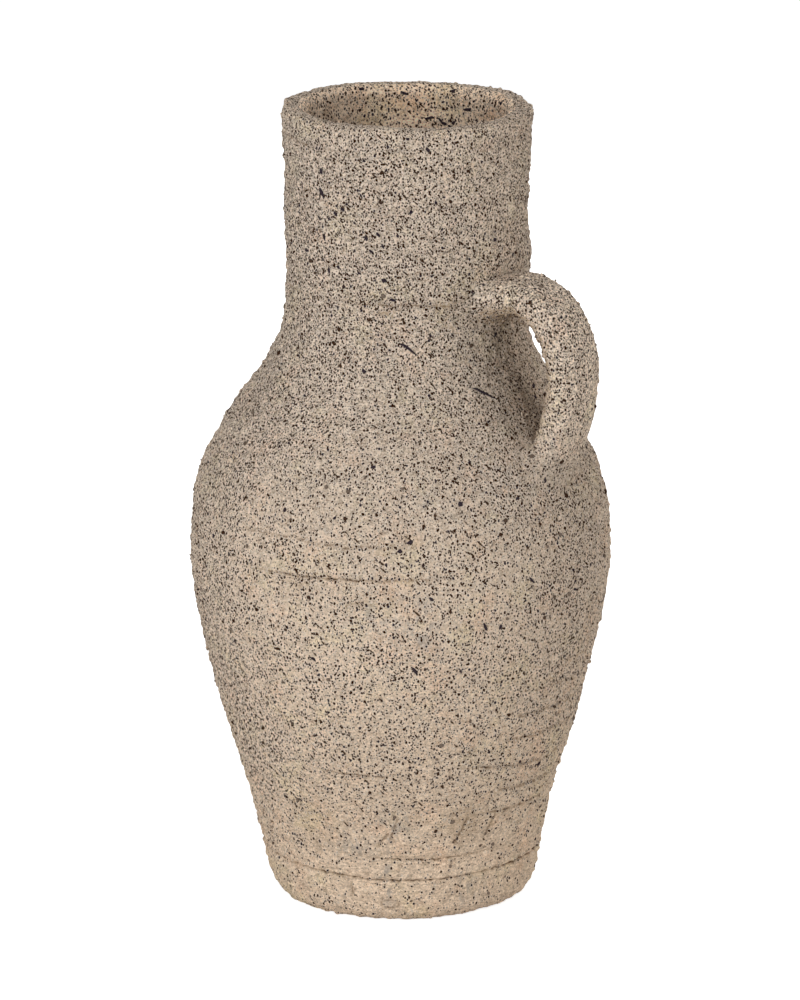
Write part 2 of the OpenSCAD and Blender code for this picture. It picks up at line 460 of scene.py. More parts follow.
@dataclass(frozen=True)
class Inclusion:
    """Large flat dark grain that lies flush in the wall."""

    bearing: float
    z: float
    length: float
    width: float
    tilt: float
    inside: bool = False


INCLUSIONS = tuple(Inclusion(*row) for row in (
    (-51.8, 233.0, 5.2, 2.6, 23), (-98.3, 410.7, 5.7, 2.2, -56), (-50.6, 159.6, 5.6, 1.7, -61),
    (-98.3, 422.9, 3.4, 2.5, -87), (-31.3, 183.2, 5.1, 1.7, -63), (-7.8, 331.5, 3.7, 2.2, 39),
    (-46.4, 201.2, 3.7, 1.7, -41), (-61.3, 355.3, 4.3, 1.7, -20), (-96.8, 385.6, 5.1, 1.7, -61),
    (-112.7, 411.6, 4.1, 2.0, -61), (-16.9, 205.6, 5.4, 1.3, -45), (-26.7, 182.0, 3.1, 2.1, -88),
    (-8.6, 384.9, 3.2, 2.3, -14), (-37.6, 251.9, 3.3, 2.6, 58), (-65.4, 366.1, 2.9, 2.2, -36),
    (-63.9, 270.7, 3.1, 2.0, 12), (-90.5, 400.4, 3.3, 1.7, -53), (0.8, 192.7, 4.7, 1.7, -26),
    (-45.4, 439.2, 3.2, 1.8, -50), (-54.9, 228.1, 2.5, 2.2, -45), (-73.2, 316.2, 3.3, 2.2, -51),
    (-94.4, 368.1, 3.9, 1.7, -81), (-79.4, 162.6, 4.7, 1.4, -31), (-97.9, 423.0, 2.8, 1.8, -70),
    (-113.0, 411.1, 3.6, 1.5, -75), (-86.4, 403.3, 2.8, 1.9, -35), (-68.3, 391.4, 3.4, 1.5, -50),
    (-65.9, 385.0, 3.2, 1.4, -60), (-58.9, 390.9, 2.8, 1.6, -30), (-54.8, 445.6, 2.6, 1.6, -25),
    (-74.0, 389.0, 2.8, 2.0, -55), (-71.6, 381.7, 3.2, 1.4, -40), (-89.0, 371.1, 2.6, 1.7, -45),
    (-65.1, 366.4, 2.8, 1.7, -30), (-77.4, 369.0, 2.6, 1.5, 0), (-100.1, 396.4, 3.4, 1.3, -50),
    (-109.4, 376.4, 2.8, 1.6, -40), (85.0, 300.0, 4.0, 2.2, 35), (140.0, 205.0, 5.0, 2.4, -30),
    (60.0, 120.0, 4.2, 1.8, 60), (-150.0, 250.0, 4.4, 2.0, -50), (170.0, 150.0, 3.6, 2.2, 20),
    (97.6, 447.6, 4.0, 2.6, 19, True), (127.0, 445.3, 4.9, 1.8, -23, True),
    (57.6, 446.6, 3.5, 2.4, 38, True), (87.6, 438.2, 5.7, 1.7, 11, True),
    (105.6, 430.4, 3.6, 1.7, -35, True), (103.0, 428.6, 4.0, 1.9, -12, True),
    (99.6, 427.4, 3.4, 2.2, -30, True), (97.0, 429.4, 3.0, 1.8, 20, True),
    (112.0, 431.0, 6.0, 1.8, 15, True), (151.7, 447.6, 3.5, 1.8, 0, True),
))

# Straw-thin dark slivers that lie on the wall, from one (bearing, height) to another
SLIVERS = (
    ((-57.5, 331.4), (-49.0, 325.4)),
    ((-25.8, 306.8), (-15.7, 300.2)),
    ((128.0, 262.0), (121.0, 257.0)),
)

# Slow swells of the wall in mm; a patch that goes all round is very wide
SWELLS = patches(
    (28, 366, 34, 16, 2.3), (0, 280, 10000, 36, -0.9), (32, 261, 26, 9, -2.0),
    (-145, 415, 30, 14, -0.8), (-145, 262, 34, 13, -0.8), (-145, 213, 34, 16, -0.7),
    (-100, 4, 50, 7, 0.9), (-140, 6, 36, 9, -2.2), (35, 243, 20, 9, -1.3),
)


@dataclass
class VesselForm:
    """Shape of the wall as the hands left it: outline, lean, lumps, ridges and creases."""

    outline: Outline = field(default_factory=Outline)
    view_bearing: float = 35.0
    lean_heights: Levels = (0, 30, 60, 120, 200, 250, 300, 340, 450)
    lean_offsets: Levels = (1.1, 1.5, 0.3, -0.6, -1.2, -1.0, 0.2, 0.8, 0.4)
    broad_lump: float = 0.75
    broad_size: float = 62.0
    small_lump: float = 0.28
    small_size: float = 19.0
    ridge_rise: float = 0.26
    ridge_size: Triple = (75.0, 75.0, 5.5)
    grit_rise: float = 0.24
    grit_sizes: Pair = (3.1, 1.9)
    knob_rise: float = 2.0
    knob_size: float = 3.6
    knob_start: float = 0.43
    pit_depth: float = 0.9
    pit_size: float = 3.0
    pit_start: float = 0.52
    lip_wave: float = 0.7
    lip_grit: float = 0.6
    lip_reach: float = 20.0
    lip_seed: int = 41
    bump_rise: float = 1.0
    bump_size: float = 4.6
    worn_bearing: float = -55.0
    worn_least: float = 0.4
    worn_more: float = 0.9
    imprint: Pair = (-59.2, 12.0)
    imprint_half: Pair = (4.9, 2.4)
    imprint_radius: float = 77.0
    imprint_edge: float = 0.22
    imprint_depth: float = 0.4
    # Shares of the painted crease shade that the imprint and the tool marks give
    imprint_shade: float = 0.55
    tool_shade: float = 0.7
    inner_lump: Pair = (0.5, 45.0)
    inner_small: Pair = (0.3, 17.0)
    finger_rise: float = 0.6
    finger_size: Triple = (90.0, 90.0, 9.0)
    creases: tuple[Crease, ...] = (
        FOOT_SEAM, HEEL_SEAM, LOWER_SEAM, BELLY_SEAM, NECK_SEAM, RIM_SEAM, *WALL_CREASES
    )
    tool_marks: tuple[Gouge, ...] = TOOL_MARKS
    swells: tuple[Patch, ...] = SWELLS
    noises: tuple[GradientNoise, ...] = field(
        default_factory=lambda: tuple(GradientNoise(seed) for seed in range(3, 11))
    )

    def lean(self, z: Array) -> Array:
        """How far the axis leans aside at each height.

        Args:
            z: Heights in mm.

        Returns:
            Offsets in mm, coordinates last.
        """
        aside = np.interp(z, self.lean_heights, self.lean_offsets)
        turn = np.radians(self.view_bearing)
        return np.stack([aside * np.cos(turn), aside * np.sin(turn), aside * 0.0], -1)

    def swell(self, bearing: Array, z: Array) -> Array:
        """Slow swells and dips of the wall in mm."""
        return total(self.swells, bearing, z, self.outline.radius(z))

    def grit(self, points: Array) -> Array:
        """Fine roughness of the fired clay.

        Args:
            points: Points in mm.

        Returns:
            The rise at each point in mm.
        """
        fine, finer, knobs, pits = self.noises[3:7]
        large, little = self.grit_sizes
        rise = self.grit_rise * (fine.at(points, large) + finer.at(points, little))
        rise += self.knob_rise * np.maximum(knobs.at(points, self.knob_size) - self.knob_start, 0.0)
        pit = np.maximum(pits.at(points, self.pit_size) - self.pit_start, 0.0)
        return rise - self.pit_depth * pit

    def outer_relief(self, points: Array, bearing: Array, z: Array) -> tuple[Array, Array]:
        """Relief of the outside.

        Args:
            points: Points of the clean outline in mm.
            bearing: Their bearings in degrees.
            z: Their heights in mm.

        Returns:
            The rise at each point in mm, and how deep it lies in a crease, 0 to 1.
        """
        lumps, small, ridges = self.noises[:3]
        rise = self.broad_lump * lumps.at(points, self.broad_size)
        rise = rise + self.small_lump * small.at(points, self.small_size)
        aside = 0.5 - 0.5 * np.cos(np.radians(2.0 * (bearing - self.worn_bearing)))
        worn = self.worn_least + self.worn_more * aside**2
        rise += self.swell(bearing, z) + self.bump_rise * worn * small.at(points, self.bump_size)
        rise += self.ridge_rise * ridges.at(points, self.ridge_size)
        lip = smooth(self.outline.height - 9.0, self.outline.height - 3.0, z)
        rise += self.grit(points) * (1.0 + self.lip_grit * lip)
        # How deep each point lies in a crease, tool mark or imprint; the material paints this as
        # shade
        pressed = np.zeros_like(rise)
        for share, marks in ((1.0, self.creases), (self.tool_shade, self.tool_marks)):
            for mark in marks:
                moved, deep = mark.press(bearing, z)
                rise += moved
                pressed = np.maximum(pressed, share * deep)
        wide, high = self.imprint_half
        imprint_x = np.radians(bearing - self.imprint[0]) * self.imprint_radius / wide
        oval = np.hypot(imprint_x, (z - self.imprint[1]) / high)
        dent = np.exp(-(((oval - 1.0) / self.imprint_edge) ** 2))
        return rise - self.imprint_depth * dent, np.maximum(pressed, self.imprint_shade * dent)

    def inner_relief(self, points: Array) -> Array:
        """Relief of the inside, with the rings that the fingers left.

        Args:
            points: Points of the clean inside in mm.

        Returns:
            The rise at each point in mm.
        """
        lumps, small, ridges = self.noises[:3]
        (lump, lump_size), (little, little_size) = self.inner_lump, self.inner_small
        rise = lump * lumps.at(points, lump_size) + little * small.at(points, little_size)
        return rise + self.finger_rise * ridges.at(points, self.finger_size) + self.grit(points)

    def mold(
        self, bearing: Array, r: Array, z: Array, out_r: Array, out_z: Array,
        relief: Array, inner: Array,
    ) -> tuple[Array, Array]:
        """Puts the relief, the lean and the uneven lip on points of the clean shape.

        Args:
            bearing: Bearings in degrees.
            r: Radii in mm.
            z: Heights in mm.
            out_r: Radial part of the direction out of the clay.
            out_z: Upright part of that direction.
            relief: How much of the relief each point takes, 0 to 1.
            inner: How much of it is that of the inside, 0 to 1.

        Returns:
            Points in mm, and how deep each lies in a crease, 0 to 1.
        """
        turn = np.radians(bearing)
        around = np.stack([np.cos(turn), np.sin(turn), np.zeros_like(turn)], -1)
        up = np.array([0.0, 0.0, 1.0])
        clean = around * r[..., None] + up * z[..., None]
        outer, pressed = self.outer_relief(clean, bearing, z)
        rise = relief * ((1.0 - inner) * outer + inner * self.inner_relief(clean))
        points = clean + (around * out_r[..., None] + up * out_z[..., None]) * rise[..., None]
        points = points + self.lean(z)
        crest = smooth(self.outline.height - self.lip_reach, self.outline.height, z)
        points[..., 2] += self.lip_wave * crest * (round_wave(bearing, self.lip_seed) - 0.4)
        points[..., 2] = np.maximum(points[..., 2], 0.0)
        return points, pressed * relief * (1.0 - inner)

    def surface(self, bearing: Array, z: Array) -> tuple[Array, Array]:
        """Points of the outside.

        Args:
            bearing: Bearings in degrees.
            z: Heights in mm.

        Returns:
            Points in mm, and how deep each lies in a crease, 0 to 1.
        """
        slope = self.outline.slope(z)
        size = np.sqrt(1 + slope**2)
        ones = np.ones_like(z)
        return self.mold(
            bearing, self.outline.radius(z), z, 1 / size, -slope / size, ones, ones * 0
        )

    def facing(self, bearing: Array, z: Array) -> Array:
        """Direction out of the clean outside.

        Args:
            bearing: Bearings in degrees.
            z: Heights in mm.

        Returns:
            Unit vectors, coordinates last.
        """
        slope = self.outline.slope(z)
        turn = np.radians(bearing)
        out = np.stack([np.cos(turn), np.sin(turn), -slope], -1)
        return out / np.sqrt(1 + slope**2)[..., None]


# Where the specks lie closer; the patch at bearing -4, height 284 thickens them to paint shade
# beside the handle's lower root
PEPPER_AND_SHADE_PATCHES = patches(
    (62, 436, 28, 16, 0.55), (-124, 262, 30, 46, 1.0), (-130, 160, 26, 60, 0.6),
    # (-4, 284) is painted shade beside the handle's lower root
    (-95, 400, 24, 45, 0.3), (-60, 395, 30, 60, 0.15), (-4, 284, 6, 9, 0.8),
    (-115, 110, 34, 110, 0.55), (-118, 380, 26, 60, 0.3), (-55, 6, 80, 12, 0.16),
    (125, 444, 40, 6, 0.4), (-60, 448, 10000, 5, 0.15), (-120, 400, 26, 40, 0.4),
    (-112, 330, 30, 40, 0.4), (-30, 370, 16, 26, 0.35), (-62, 349, 8, 5, 0.5),
    (-128, 190, 30, 60, 0.55), (4, 205, 26, 50, 0.75), (-14, 255, 30, 34, 0.6),
    (-28, 300, 26, 26, 0.3), (-76, 152, 26, 14, 0.3), (60, 240, 45, 60, 0.3),
    (150, 330, 40, 60, 0.3), (20, 385, 26, 60, 0.6), (14, 300, 26, 40, 0.4),
    (-100, 385, 34, 60, 0.35), (-105, 300, 36, 40, 0.5), (-60, 385, 40, 60, 0.2),
)
# Rusty stains, and a broad warm tint down the handle's side; the patches just beside the handle's
# roots are painted warm shade
STAIN_AND_SHADE_PATCHES = patches(
    (4, 330, 26, 190, 0.14), (122, 440, 14, 8, 0.45), (-60, 449, 10000, 4, 0.12),
    (-14, 268, 5, 8, 0.35), (-7, 342, 8, 6, 0.6), (22, 339, 10, 7, 0.6), (-34, 352, 10, 5, 0.3),
    (-64, 348, 5, 2.5, 0.5), (-66, 198, 10, 5, 0.3), (-58, 201, 4, 4, 0.35),
    (-84, 205, 8, 9, 0.25), (-30, 62, 12, 12, 0.35), (-88, 56, 16, 18, 0.2),
)
# Grey smoky streaks
SMOKE_PATCHES = patches(
    (-60, 25, 4, 14, 0.6), (-56, 62, 12, 9, 0.4), (-74, 45, 16, 12, 0.3), (-25, 18, 10, 12, 0.35),
    (-64, 190, 12, 9, 0.45), (-52, 196, 10, 8, 0.45), (-20, 262, 28, 22, 0.3),
    (-50, 180, 12, 9, 0.5), (-75, 236, 7, 6, 0.2), (-48, 254, 8, 6, 0.2),
    (-108, 400, 18, 26, 0.15), (10, 215, 26, 22, 0.25), (100, 180, 30, 30, 0.25),
    (170, 90, 18, 20, 0.25),
)
# Where the clay is made lighter (above 0) or darker (below 0); the three patches near the top at
# bearings 170, 122 and 78 paint the light and shade inside the mouth
TONE_AND_LIGHT_PATCHES = patches(
    (-50, 385, 45, 50, -0.12), (-48, 275, 50, 36, -0.1), (-5, 265, 50, 40, -0.27),
    (-60, 165, 55, 60, 0.2), (-60, 449, 10000, 4, 0.2), (4, 205, 45, 45, -0.15),
    (-55, 28, 70, 40, 0.3), (170, 436, 30, 16, -0.4), (122, 438, 26, 14, 0.78),
    (78, 438, 26, 14, -0.25),
)


@dataclass(frozen=True)
class Colouring:
    """Where the clay is peppered, stained and smoky, lighter or darker, and painted with shade and
    light.
    """

    form: VesselForm
    pepper_heights: Levels = (0, 30, 60, 100, 150, 210, 260, 330, 450)
    pepper_levels: Levels = (0.13, 0.16, 0.42, 0.9, 1.0, 1.0, 0.98, 1.05, 1.1)
    cloud: Pair = (0.22, 30.0)
    drift: Pair = (0.15, 13.0)
    tone_level: float = 0.5

    def marks(self, points: Array, pressed: Array) -> Marks:
        """Marks at points of the clay.

        Args:
            points: Points in mm.
            pressed: How deep each lies in a crease, 0 to 1.

        Returns:
            The numbers of each mark.
        """
        x, y, z = np.moveaxis(points, -1, 0)
        bearing = np.degrees(np.arctan2(y, x))
        radius = np.hypot(x, y)
        clouds = self.cloud[0] * self.form.noises[7].at(points, self.cloud[1])
        drifts = self.drift[0] * self.form.noises[0].at(points, self.drift[1])
        pepper = np.interp(z, self.pepper_heights, self.pepper_levels)
        pepper = pepper * (1.0 + clouds + drifts)
        pepper += total(PEPPER_AND_SHADE_PATCHES, bearing, z, radius)
        stain = total(STAIN_AND_SHADE_PATCHES, bearing, z, radius)
        smoke = total(SMOKE_PATCHES, bearing, z, radius)
        fired = self.tone_level + total(TONE_AND_LIGHT_PATCHES, bearing, z, radius)
        return {
            Mark.CREASE_SHADE: np.clip(pressed, 0, 1),
            Mark.STAIN_AND_SHADE: np.clip(stain, 0, 1),
            Mark.SMOKE: np.clip(smoke, 0, 1),
            Mark.PEPPER: np.clip(pepper, 0.05, 2.0),
            Mark.GRAIN: np.zeros_like(z),
            Mark.TONE_AND_LIGHT: np.clip(fired, -0.2, 1.3),
        }


def add_object(name: str, data: bpy.types.ID) -> bpy.types.Object:
    """Adds an object to the scene.

    Args:
        name: Its name.
        data: Its mesh, lamp or camera.

    Returns:
        The object.
    """
    made = bpy.data.objects.new(name, data)
    bpy.context.scene.collection.objects.link(made)
    return made


@dataclass
class ClayMesh:
    """Points, faces, finishes and marks of one piece while it is put together, in mm."""

    name: str
    points: list[Array] = field(default_factory=list)
    quads: list[Array] = field(default_factory=list)
    triangles: list[Array] = field(default_factory=list)
    quad_finishes: list[Array] = field(default_factory=list)
    triangle_finishes: list[Array] = field(default_factory=list)
    corners: list[Array] = field(default_factory=list)
    marks: dict[Mark, list[Array]] = field(default_factory=lambda: {m: [] for m in Mark})
    count: int = 0

    def add_points(self, points: Array, marks: Marks, corner: Array) -> int:
        """Adds points.

        Args:
            points: Points in mm, coordinates last.
            marks: Their marks.
            corner: Number of the sharp line that each lies on, or -1.

        Returns:
            Number of the first of them.
        """
        first = self.count
        self.points.append(points.reshape(-1, 3))
        for mark in Mark:
            self.marks[mark].append(marks[mark].reshape(-1))
        self.corners.append(corner.reshape(-1))
        self.count += points.reshape(-1, 3).shape[0]
        return first

    def add_grid(
        self, points: Array, marks: Marks, finishes: Array, sharp: Array, closed: bool
    ) -> int:
        """Adds a grid of points whose rows run round, with the faces between them.

        Args:
            points: Points in mm, as rows of rings.
            marks: Their marks.
            finishes: Finish of the faces above each row.
            sharp: Whether each row is a sharp line.
            closed: Whether the last row joins the first.

        Returns:
            Number of the first point.
        """
        rows, around = points.shape[:2]
        corner = np.where(sharp, np.arange(rows) + self.count, -1)
        first = self.add_points(points, marks, np.repeat(corner[:, None], around, 1))
        j = np.arange(rows if closed else rows - 1)[:, None]
        i = np.arange(around)[None, :]
        above, beside = (j + 1) % rows, (i + 1) % around
        quads = np.stack(
            [j * around + i, j * around + beside, above * around + beside, above * around + i], -1
        )
        self.quads.append(quads.reshape(-1, 4) + first)
        self.quad_finishes.append(np.repeat(finishes[: len(j)], around))
        return first

    def add_capped(
        self, points: Array, marks: Marks, finishes: Array, sharp: Array,
        caps: tuple[Finish, Finish],
    ) -> None:
        """Adds an open grid and closes its first and last rows with fans of faces.

        Args:
            points: Points in mm, as rows of rings.
            marks: Their marks; the middle of a fan takes the mean of its row.
            finishes: Finish of the faces above each row.
            sharp: Whether each row is a sharp line.
            caps: Finishes of the two fans.
        """
        first = self.add_grid(points, marks, finishes, sharp, False)
        around = points.shape[1]
        for row, cap in zip((0, len(points) - 1), caps):
            mean = {mark: np.array([values[row].mean()]) for mark, values in marks.items()}
            hub = self.add_points(points[row].mean(0)[None, :], mean, np.array([-1]))
            ring = first + row * around + np.arange(around)
            fan = np.stack([ring, np.roll(ring, -1), np.full_like(ring, hub)], -1)
            self.triangles.append(fan if row else fan[:, ::-1])
            self.triangle_finishes.append(np.full(around, cap.value))

    def add_solid(self, points: Array, faces: Array, marks: Marks) -> None:
        """Adds a small closed solid of triangles.

        Args:
            points: Its points in mm.
            faces: Its triangles, numbered from 0.
            marks: Marks of its points.
        """
        first = self.add_points(points, marks, np.full(len(points), -1))
        self.triangles.append(faces + first)
        self.triangle_finishes.append(np.full(len(faces), Finish.OUTSIDE.value))

    def build(self, materials: list[bpy.types.Material]) -> bpy.types.Object:
        """Makes the piece's object.

        Args:
            materials: Materials in the order of Finish.

        Returns:
            The object, in metres.
        """
        points = np.concatenate(self.points) * MM
        quads = np.concatenate(self.quads)
        triangles = np.concatenate([np.zeros((0, 3), int), *self.triangles])
        loops = np.concatenate([quads.reshape(-1), triangles.reshape(-1)])
        sizes = np.concatenate([np.full(len(quads), 4), np.full(len(triangles), 3)])
        finishes = np.concatenate(
            [*self.quad_finishes, *(self.triangle_finishes or [np.zeros(0, int)])]
        )
        mesh = bpy.data.meshes.new(self.name)
        mesh.vertices.add(len(points))
        mesh.vertices.foreach_set("co", points.astype(np.float32).reshape(-1))
        mesh.loops.add(len(loops))
        mesh.loops.foreach_set("vertex_index", loops.astype(np.int32))
        mesh.polygons.add(len(sizes))
        starts = np.concatenate([[0], np.cumsum(sizes)[:-1]])
        mesh.polygons.foreach_set("loop_start", starts.astype(np.int32))
        for material in materials:
            mesh.materials.append(material)
        mesh.polygons.foreach_set("material_index", finishes.astype(np.int32))
        mesh.update(calc_edges=True)
        mesh.polygons.foreach_set("use_smooth", np.ones(len(sizes), bool))
        self.sharpen(mesh)
        for mark in Mark:
            layer = mesh.attributes.new(mark.value, "FLOAT", "POINT")
            values = np.concatenate(self.marks[mark]).astype(np.float32)
            layer.data.foreach_set("value", values)
        mesh.validate()
        return add_object(self.name, mesh)

    def sharpen(self, mesh: bpy.types.Mesh) -> None:
        """Marks the edges along the sharp lines.

        Args:
            mesh: The piece's mesh, with its edges made.
        """
        corner = np.concatenate(self.corners)
        edges = np.zeros(len(mesh.edges) * 2, np.int32)
        mesh.edges.foreach_get("vertices", edges)
        ends = corner[edges.reshape(-1, 2)]
        sharp = (ends[:, 0] == ends[:, 1]) & (ends[:, 0] >= 0)
        layer = mesh.attributes.new("sharp_edge", "BOOLEAN", "EDGE")
        layer.data.foreach_set("value", sharp)


@dataclass
class Path2D:
    """Rows of one ring of wall, from which its closed surface is made."""

    around: int
    rows: list[tuple[Array, ...]] = field(default_factory=list)
    finish: list[int] = field(default_factory=list)
    sharp: list[bool] = field(default_factory=list)

    @property
    def bearing(self) -> Array:
        """Bearings of a row's points in degrees."""
        return np.arange(self.around) * 360.0 / self.around - 180.0

    def add(
        self, r: Row, z: Row, out: tuple[Row, Row],
        relief: float, inner: float, finish: Finish, sharp: bool = False,
    ) -> None:
        """Adds a row.

        Args:
            r: Radius in mm.
            z: Height in mm.
            out: Radial and upright parts of the direction out of the clay.
            relief: How much relief the row takes, 0 to 1.
            inner: How much of it is that of the inside, 0 to 1.
            finish: Finish of the faces that follow the row.
            sharp: Whether the row is a sharp line.
        """
        ones = np.ones(self.around)
        self.rows.append(tuple(ones * value for value in (r, z, *out, relief, inner)))
        self.finish.append(finish.value)
        self.sharp.append(sharp)

    def add_outside(self, outline: Outline, z: Array, sharp: bool) -> None:
        """Adds a row of the outside.

        Args:
            outline: Clean outline of the vessel.
            z: Heights in mm.
            sharp: Whether the row is a sharp line.
        """
        slope = outline.slope(z)
        size = np.sqrt(1 + slope**2)
        self.add(outline.radius(z), z, (1 / size, -slope / size), 1, 0, Finish.OUTSIDE, sharp)

    def add_joint(self, r: Row, *heights: Row) -> None:
        """Adds bare sharp rows of one radius, the faces of a joint."""
        for z in heights:
            self.add(r, z, (0, 0), 0, 0, Finish.BARE, True)

    def stack(self, form: VesselForm) -> tuple[Array, Array]:
        """Points of all rows, with the relief on them.

        Args:
            form: Shape of the wall.

        Returns:
            Points in mm, and how deep each lies in a crease, 0 to 1.
        """
        bearing = np.repeat(self.bearing[None, :], len(self.rows), 0)
        return form.mold(bearing, *(np.array(column) for column in zip(*self.rows)))


@dataclass
class Grit:
    """Proud grains of grog that stick out of the clay."""

    form: VesselForm
    mm2_per_grain: float = 66.0
    least_radius: float = 0.42
    spread_radius: float = 0.22
    largest_radius: float = 1.35
    dark_share: float = 0.4
    round_from: float = 0.8
    dent: float = 0.16
    least_shape: Triple = (0.85, 0.75, 0.55)
    most_shape: Triple = (1.35, 1.0, 0.9)
    proud: Pair = (-0.1, 0.5)
    plate_dent: float = 0.22
    plate_half: float = 0.4
    sliver_width: float = 0.95
    sliver_lift: float = 0.15
    sliver_rows: int = 15
    sliver_sides: int = 6
    seed: int = 77

    @staticmethod
    def ball(level: int) -> tuple[Array, Array]:
        """Unit ball of triangles.

        Args:
            level: How often the 20-sided solid is divided.

        Returns:
            Its points and its triangles.
        """
        mesh = bpy.data.meshes.new("ball")
        work = bmesh.new()
        bmesh.ops.create_icosphere(work, subdivisions=level, radius=1.0)
        work.to_mesh(mesh)
        work.free()
        points = np.array([v.co for v in mesh.vertices])
        faces = np.array([p.vertices for p in mesh.polygons])
        bpy.data.meshes.remove(mesh)
        return points, faces

    def scatter(self, mesh: ClayMesh, spots: Array, facing: Array, marks: Marks, key: int) -> None:
        """Sets grains into the clay.

        Args:
            mesh: Piece that gets them.
            spots: Points of its surface in mm.
            facing: Directions out of the clay there.
            marks: Marks of the clay there.
            key: Number of the piece's own draws.
        """
        rng = np.random.default_rng(self.seed + key)
        coarse, fine = self.ball(1), self.ball(2)
        radii = self.least_radius + rng.exponential(self.spread_radius, len(spots))
        radii = np.minimum(radii, self.largest_radius)
        dark = rng.random(len(spots)) < self.dark_share
        tones = np.where(dark, rng.uniform(0.5, 1.0, len(spots)), 0)
        for n, (spot, out, radius, tone) in enumerate(zip(spots, facing, radii, tones)):
            points, faces = fine if radius > self.round_from else coarse
            side = np.cross(out, rng.normal(size=3))
            side /= np.linalg.norm(side)
            across = np.cross(out, side)
            dents = 1.0 + rng.uniform(-self.dent, self.dent, (len(points), 1))
            shape = rng.uniform(self.least_shape, self.most_shape) * radius
            local = points * dents * shape
            placed = spot + local @ np.array([side, across, out])
            placed = placed + out * radius * rng.uniform(*self.proud)
            own = {m: np.full(len(points), marks[m][n]) for m in Mark}
            own[Mark.GRAIN] = np.full(len(points), tone)
            mesh.add_solid(placed, faces, own)

    def on_wall(
        self, mesh: ClayMesh, colouring: Colouring, low: float, high: float, key: int
    ) -> int:
        """Sets grains all over the outside between two heights.

        Args:
            mesh: Piece that gets them.
            colouring: Where the clay is peppered, stained and painted with shade.
            low: Lowest grain in mm.
            high: Highest grain in mm.
            key: Number of the piece's own draws.

        Returns:
            The number of grains.
        """
        rng = np.random.default_rng(self.seed + 1000 + key)
        steps = np.linspace(low, high, 200)
        girth = self.form.outline.radius(steps) * np.sqrt(1 + self.form.outline.slope(steps) ** 2)
        area = 2 * np.pi * girth.mean() * (high - low)
        count = int(area / self.mm2_per_grain)
        share = np.concatenate([[0], np.cumsum((girth[1:] + girth[:-1]) / 2)])
        z = np.interp(rng.random(count), share / share[-1], steps)
        bearing = rng.uniform(-180, 180, count)
        spots, pressed = self.form.surface(bearing, z)
        marks = colouring.marks(spots, pressed)
        self.scatter(mesh, spots, self.form.facing(bearing, z), marks, key)
        return count

    def plate(self, mesh: ClayMesh, flake: Inclusion, key: int) -> None:
        """Sets one large flat grain flush into the wall.

        Args:
            mesh: Piece that gets it.
            flake: The grain.
            key: Number that makes its outline its own.
        """
        bearing, z = np.array([flake.bearing]), np.array([flake.z])
        turn = np.radians(flake.bearing)
        round_r = self.form.outline.lip_round
        if flake.inside:
            over = np.clip(z - (self.form.outline.height - round_r), 0.0, 0.9 * round_r) / round_r
            radius = self.form.outline.inside(z) + round_r * (1.0 - np.sqrt(1.0 - over**2))
            out_r, one = -np.sqrt(1.0 - over**2), np.ones(1)
            spots, _ = self.form.mold(bearing, radius, z, out_r, over, one, one)
            out = np.array([np.cos(turn) * out_r[0], np.sin(turn) * out_r[0], over[0]])
        else:
            spots, _ = self.form.surface(bearing, z)
            out = self.form.facing(bearing, z)[0]
        side = np.array([-np.sin(turn), np.cos(turn), 0.0])
        rise = np.cross(out, side)
        tilt = np.radians(flake.tilt)
        along = np.cos(tilt) * side + np.sin(tilt) * rise
        points, faces = self.ball(2)
        rng = np.random.default_rng(self.seed + 3000 + key)
        dents = 1.0 + rng.uniform(-self.plate_dent, self.plate_dent, (len(points), 1))
        local = points * dents * np.array([flake.length / 2, flake.width / 2, self.plate_half])
        placed = spots[0] + local @ np.array([along, np.cross(out, along), out])
        own = {m: np.zeros(len(points)) for m in Mark}
        own[Mark.GRAIN] = np.full(len(points), 1.0)
        mesh.add_solid(placed, faces, own)

    def sliver(self, mesh: ClayMesh, colouring: Colouring, ends: tuple[Pair, Pair]) -> None:
        """Lays a straw-thin dark sliver on the wall.

        Args:
            mesh: Piece that gets it.
            colouring: Where the clay is peppered, stained and painted with shade.
            ends: The (bearing, height) of its two ends.
        """
        t = np.linspace(0, 1, self.sliver_rows)
        (from_bearing, from_z), (to_bearing, to_z) = ends
        bearing = from_bearing + t * (to_bearing - from_bearing)
        z = from_z + t * (to_z - from_z) + 0.5 * np.sin(t * 5.0)
        line, _ = self.form.surface(bearing, z)
        out = self.form.facing(bearing, z)
        line = line + self.sliver_lift * out
        along = np.gradient(line, axis=0)
        along /= np.linalg.norm(along, axis=1, keepdims=True)
        side = np.cross(along, out)
        width = self.sliver_width * np.sqrt(np.clip(np.sin(np.pi * t), 0.02, 1)) * (1 - 0.5 * t)
        turn = np.linspace(0, 2 * np.pi, self.sliver_sides, endpoint=False)
        ring = np.cos(turn)[None, :, None] * side[:, None, :]
        ring = ring + 0.5 * np.sin(turn)[None, :, None] * out[:, None, :]
        points = line[:, None, :] + ring * width[:, None, None]
        marks = colouring.marks(points, np.zeros(points.shape[:2]))
        marks[Mark.GRAIN] = np.full(points.shape[:2], 1.0)
        finishes = np.full(len(t), Finish.OUTSIDE.value)
        turned = {m: v[:, ::-1] for m, v in marks.items()}
        sharp = np.zeros(len(t), bool)
        mesh.add_capped(points[:, ::-1], turned, finishes, sharp, (Finish.OUTSIDE,) * 2)


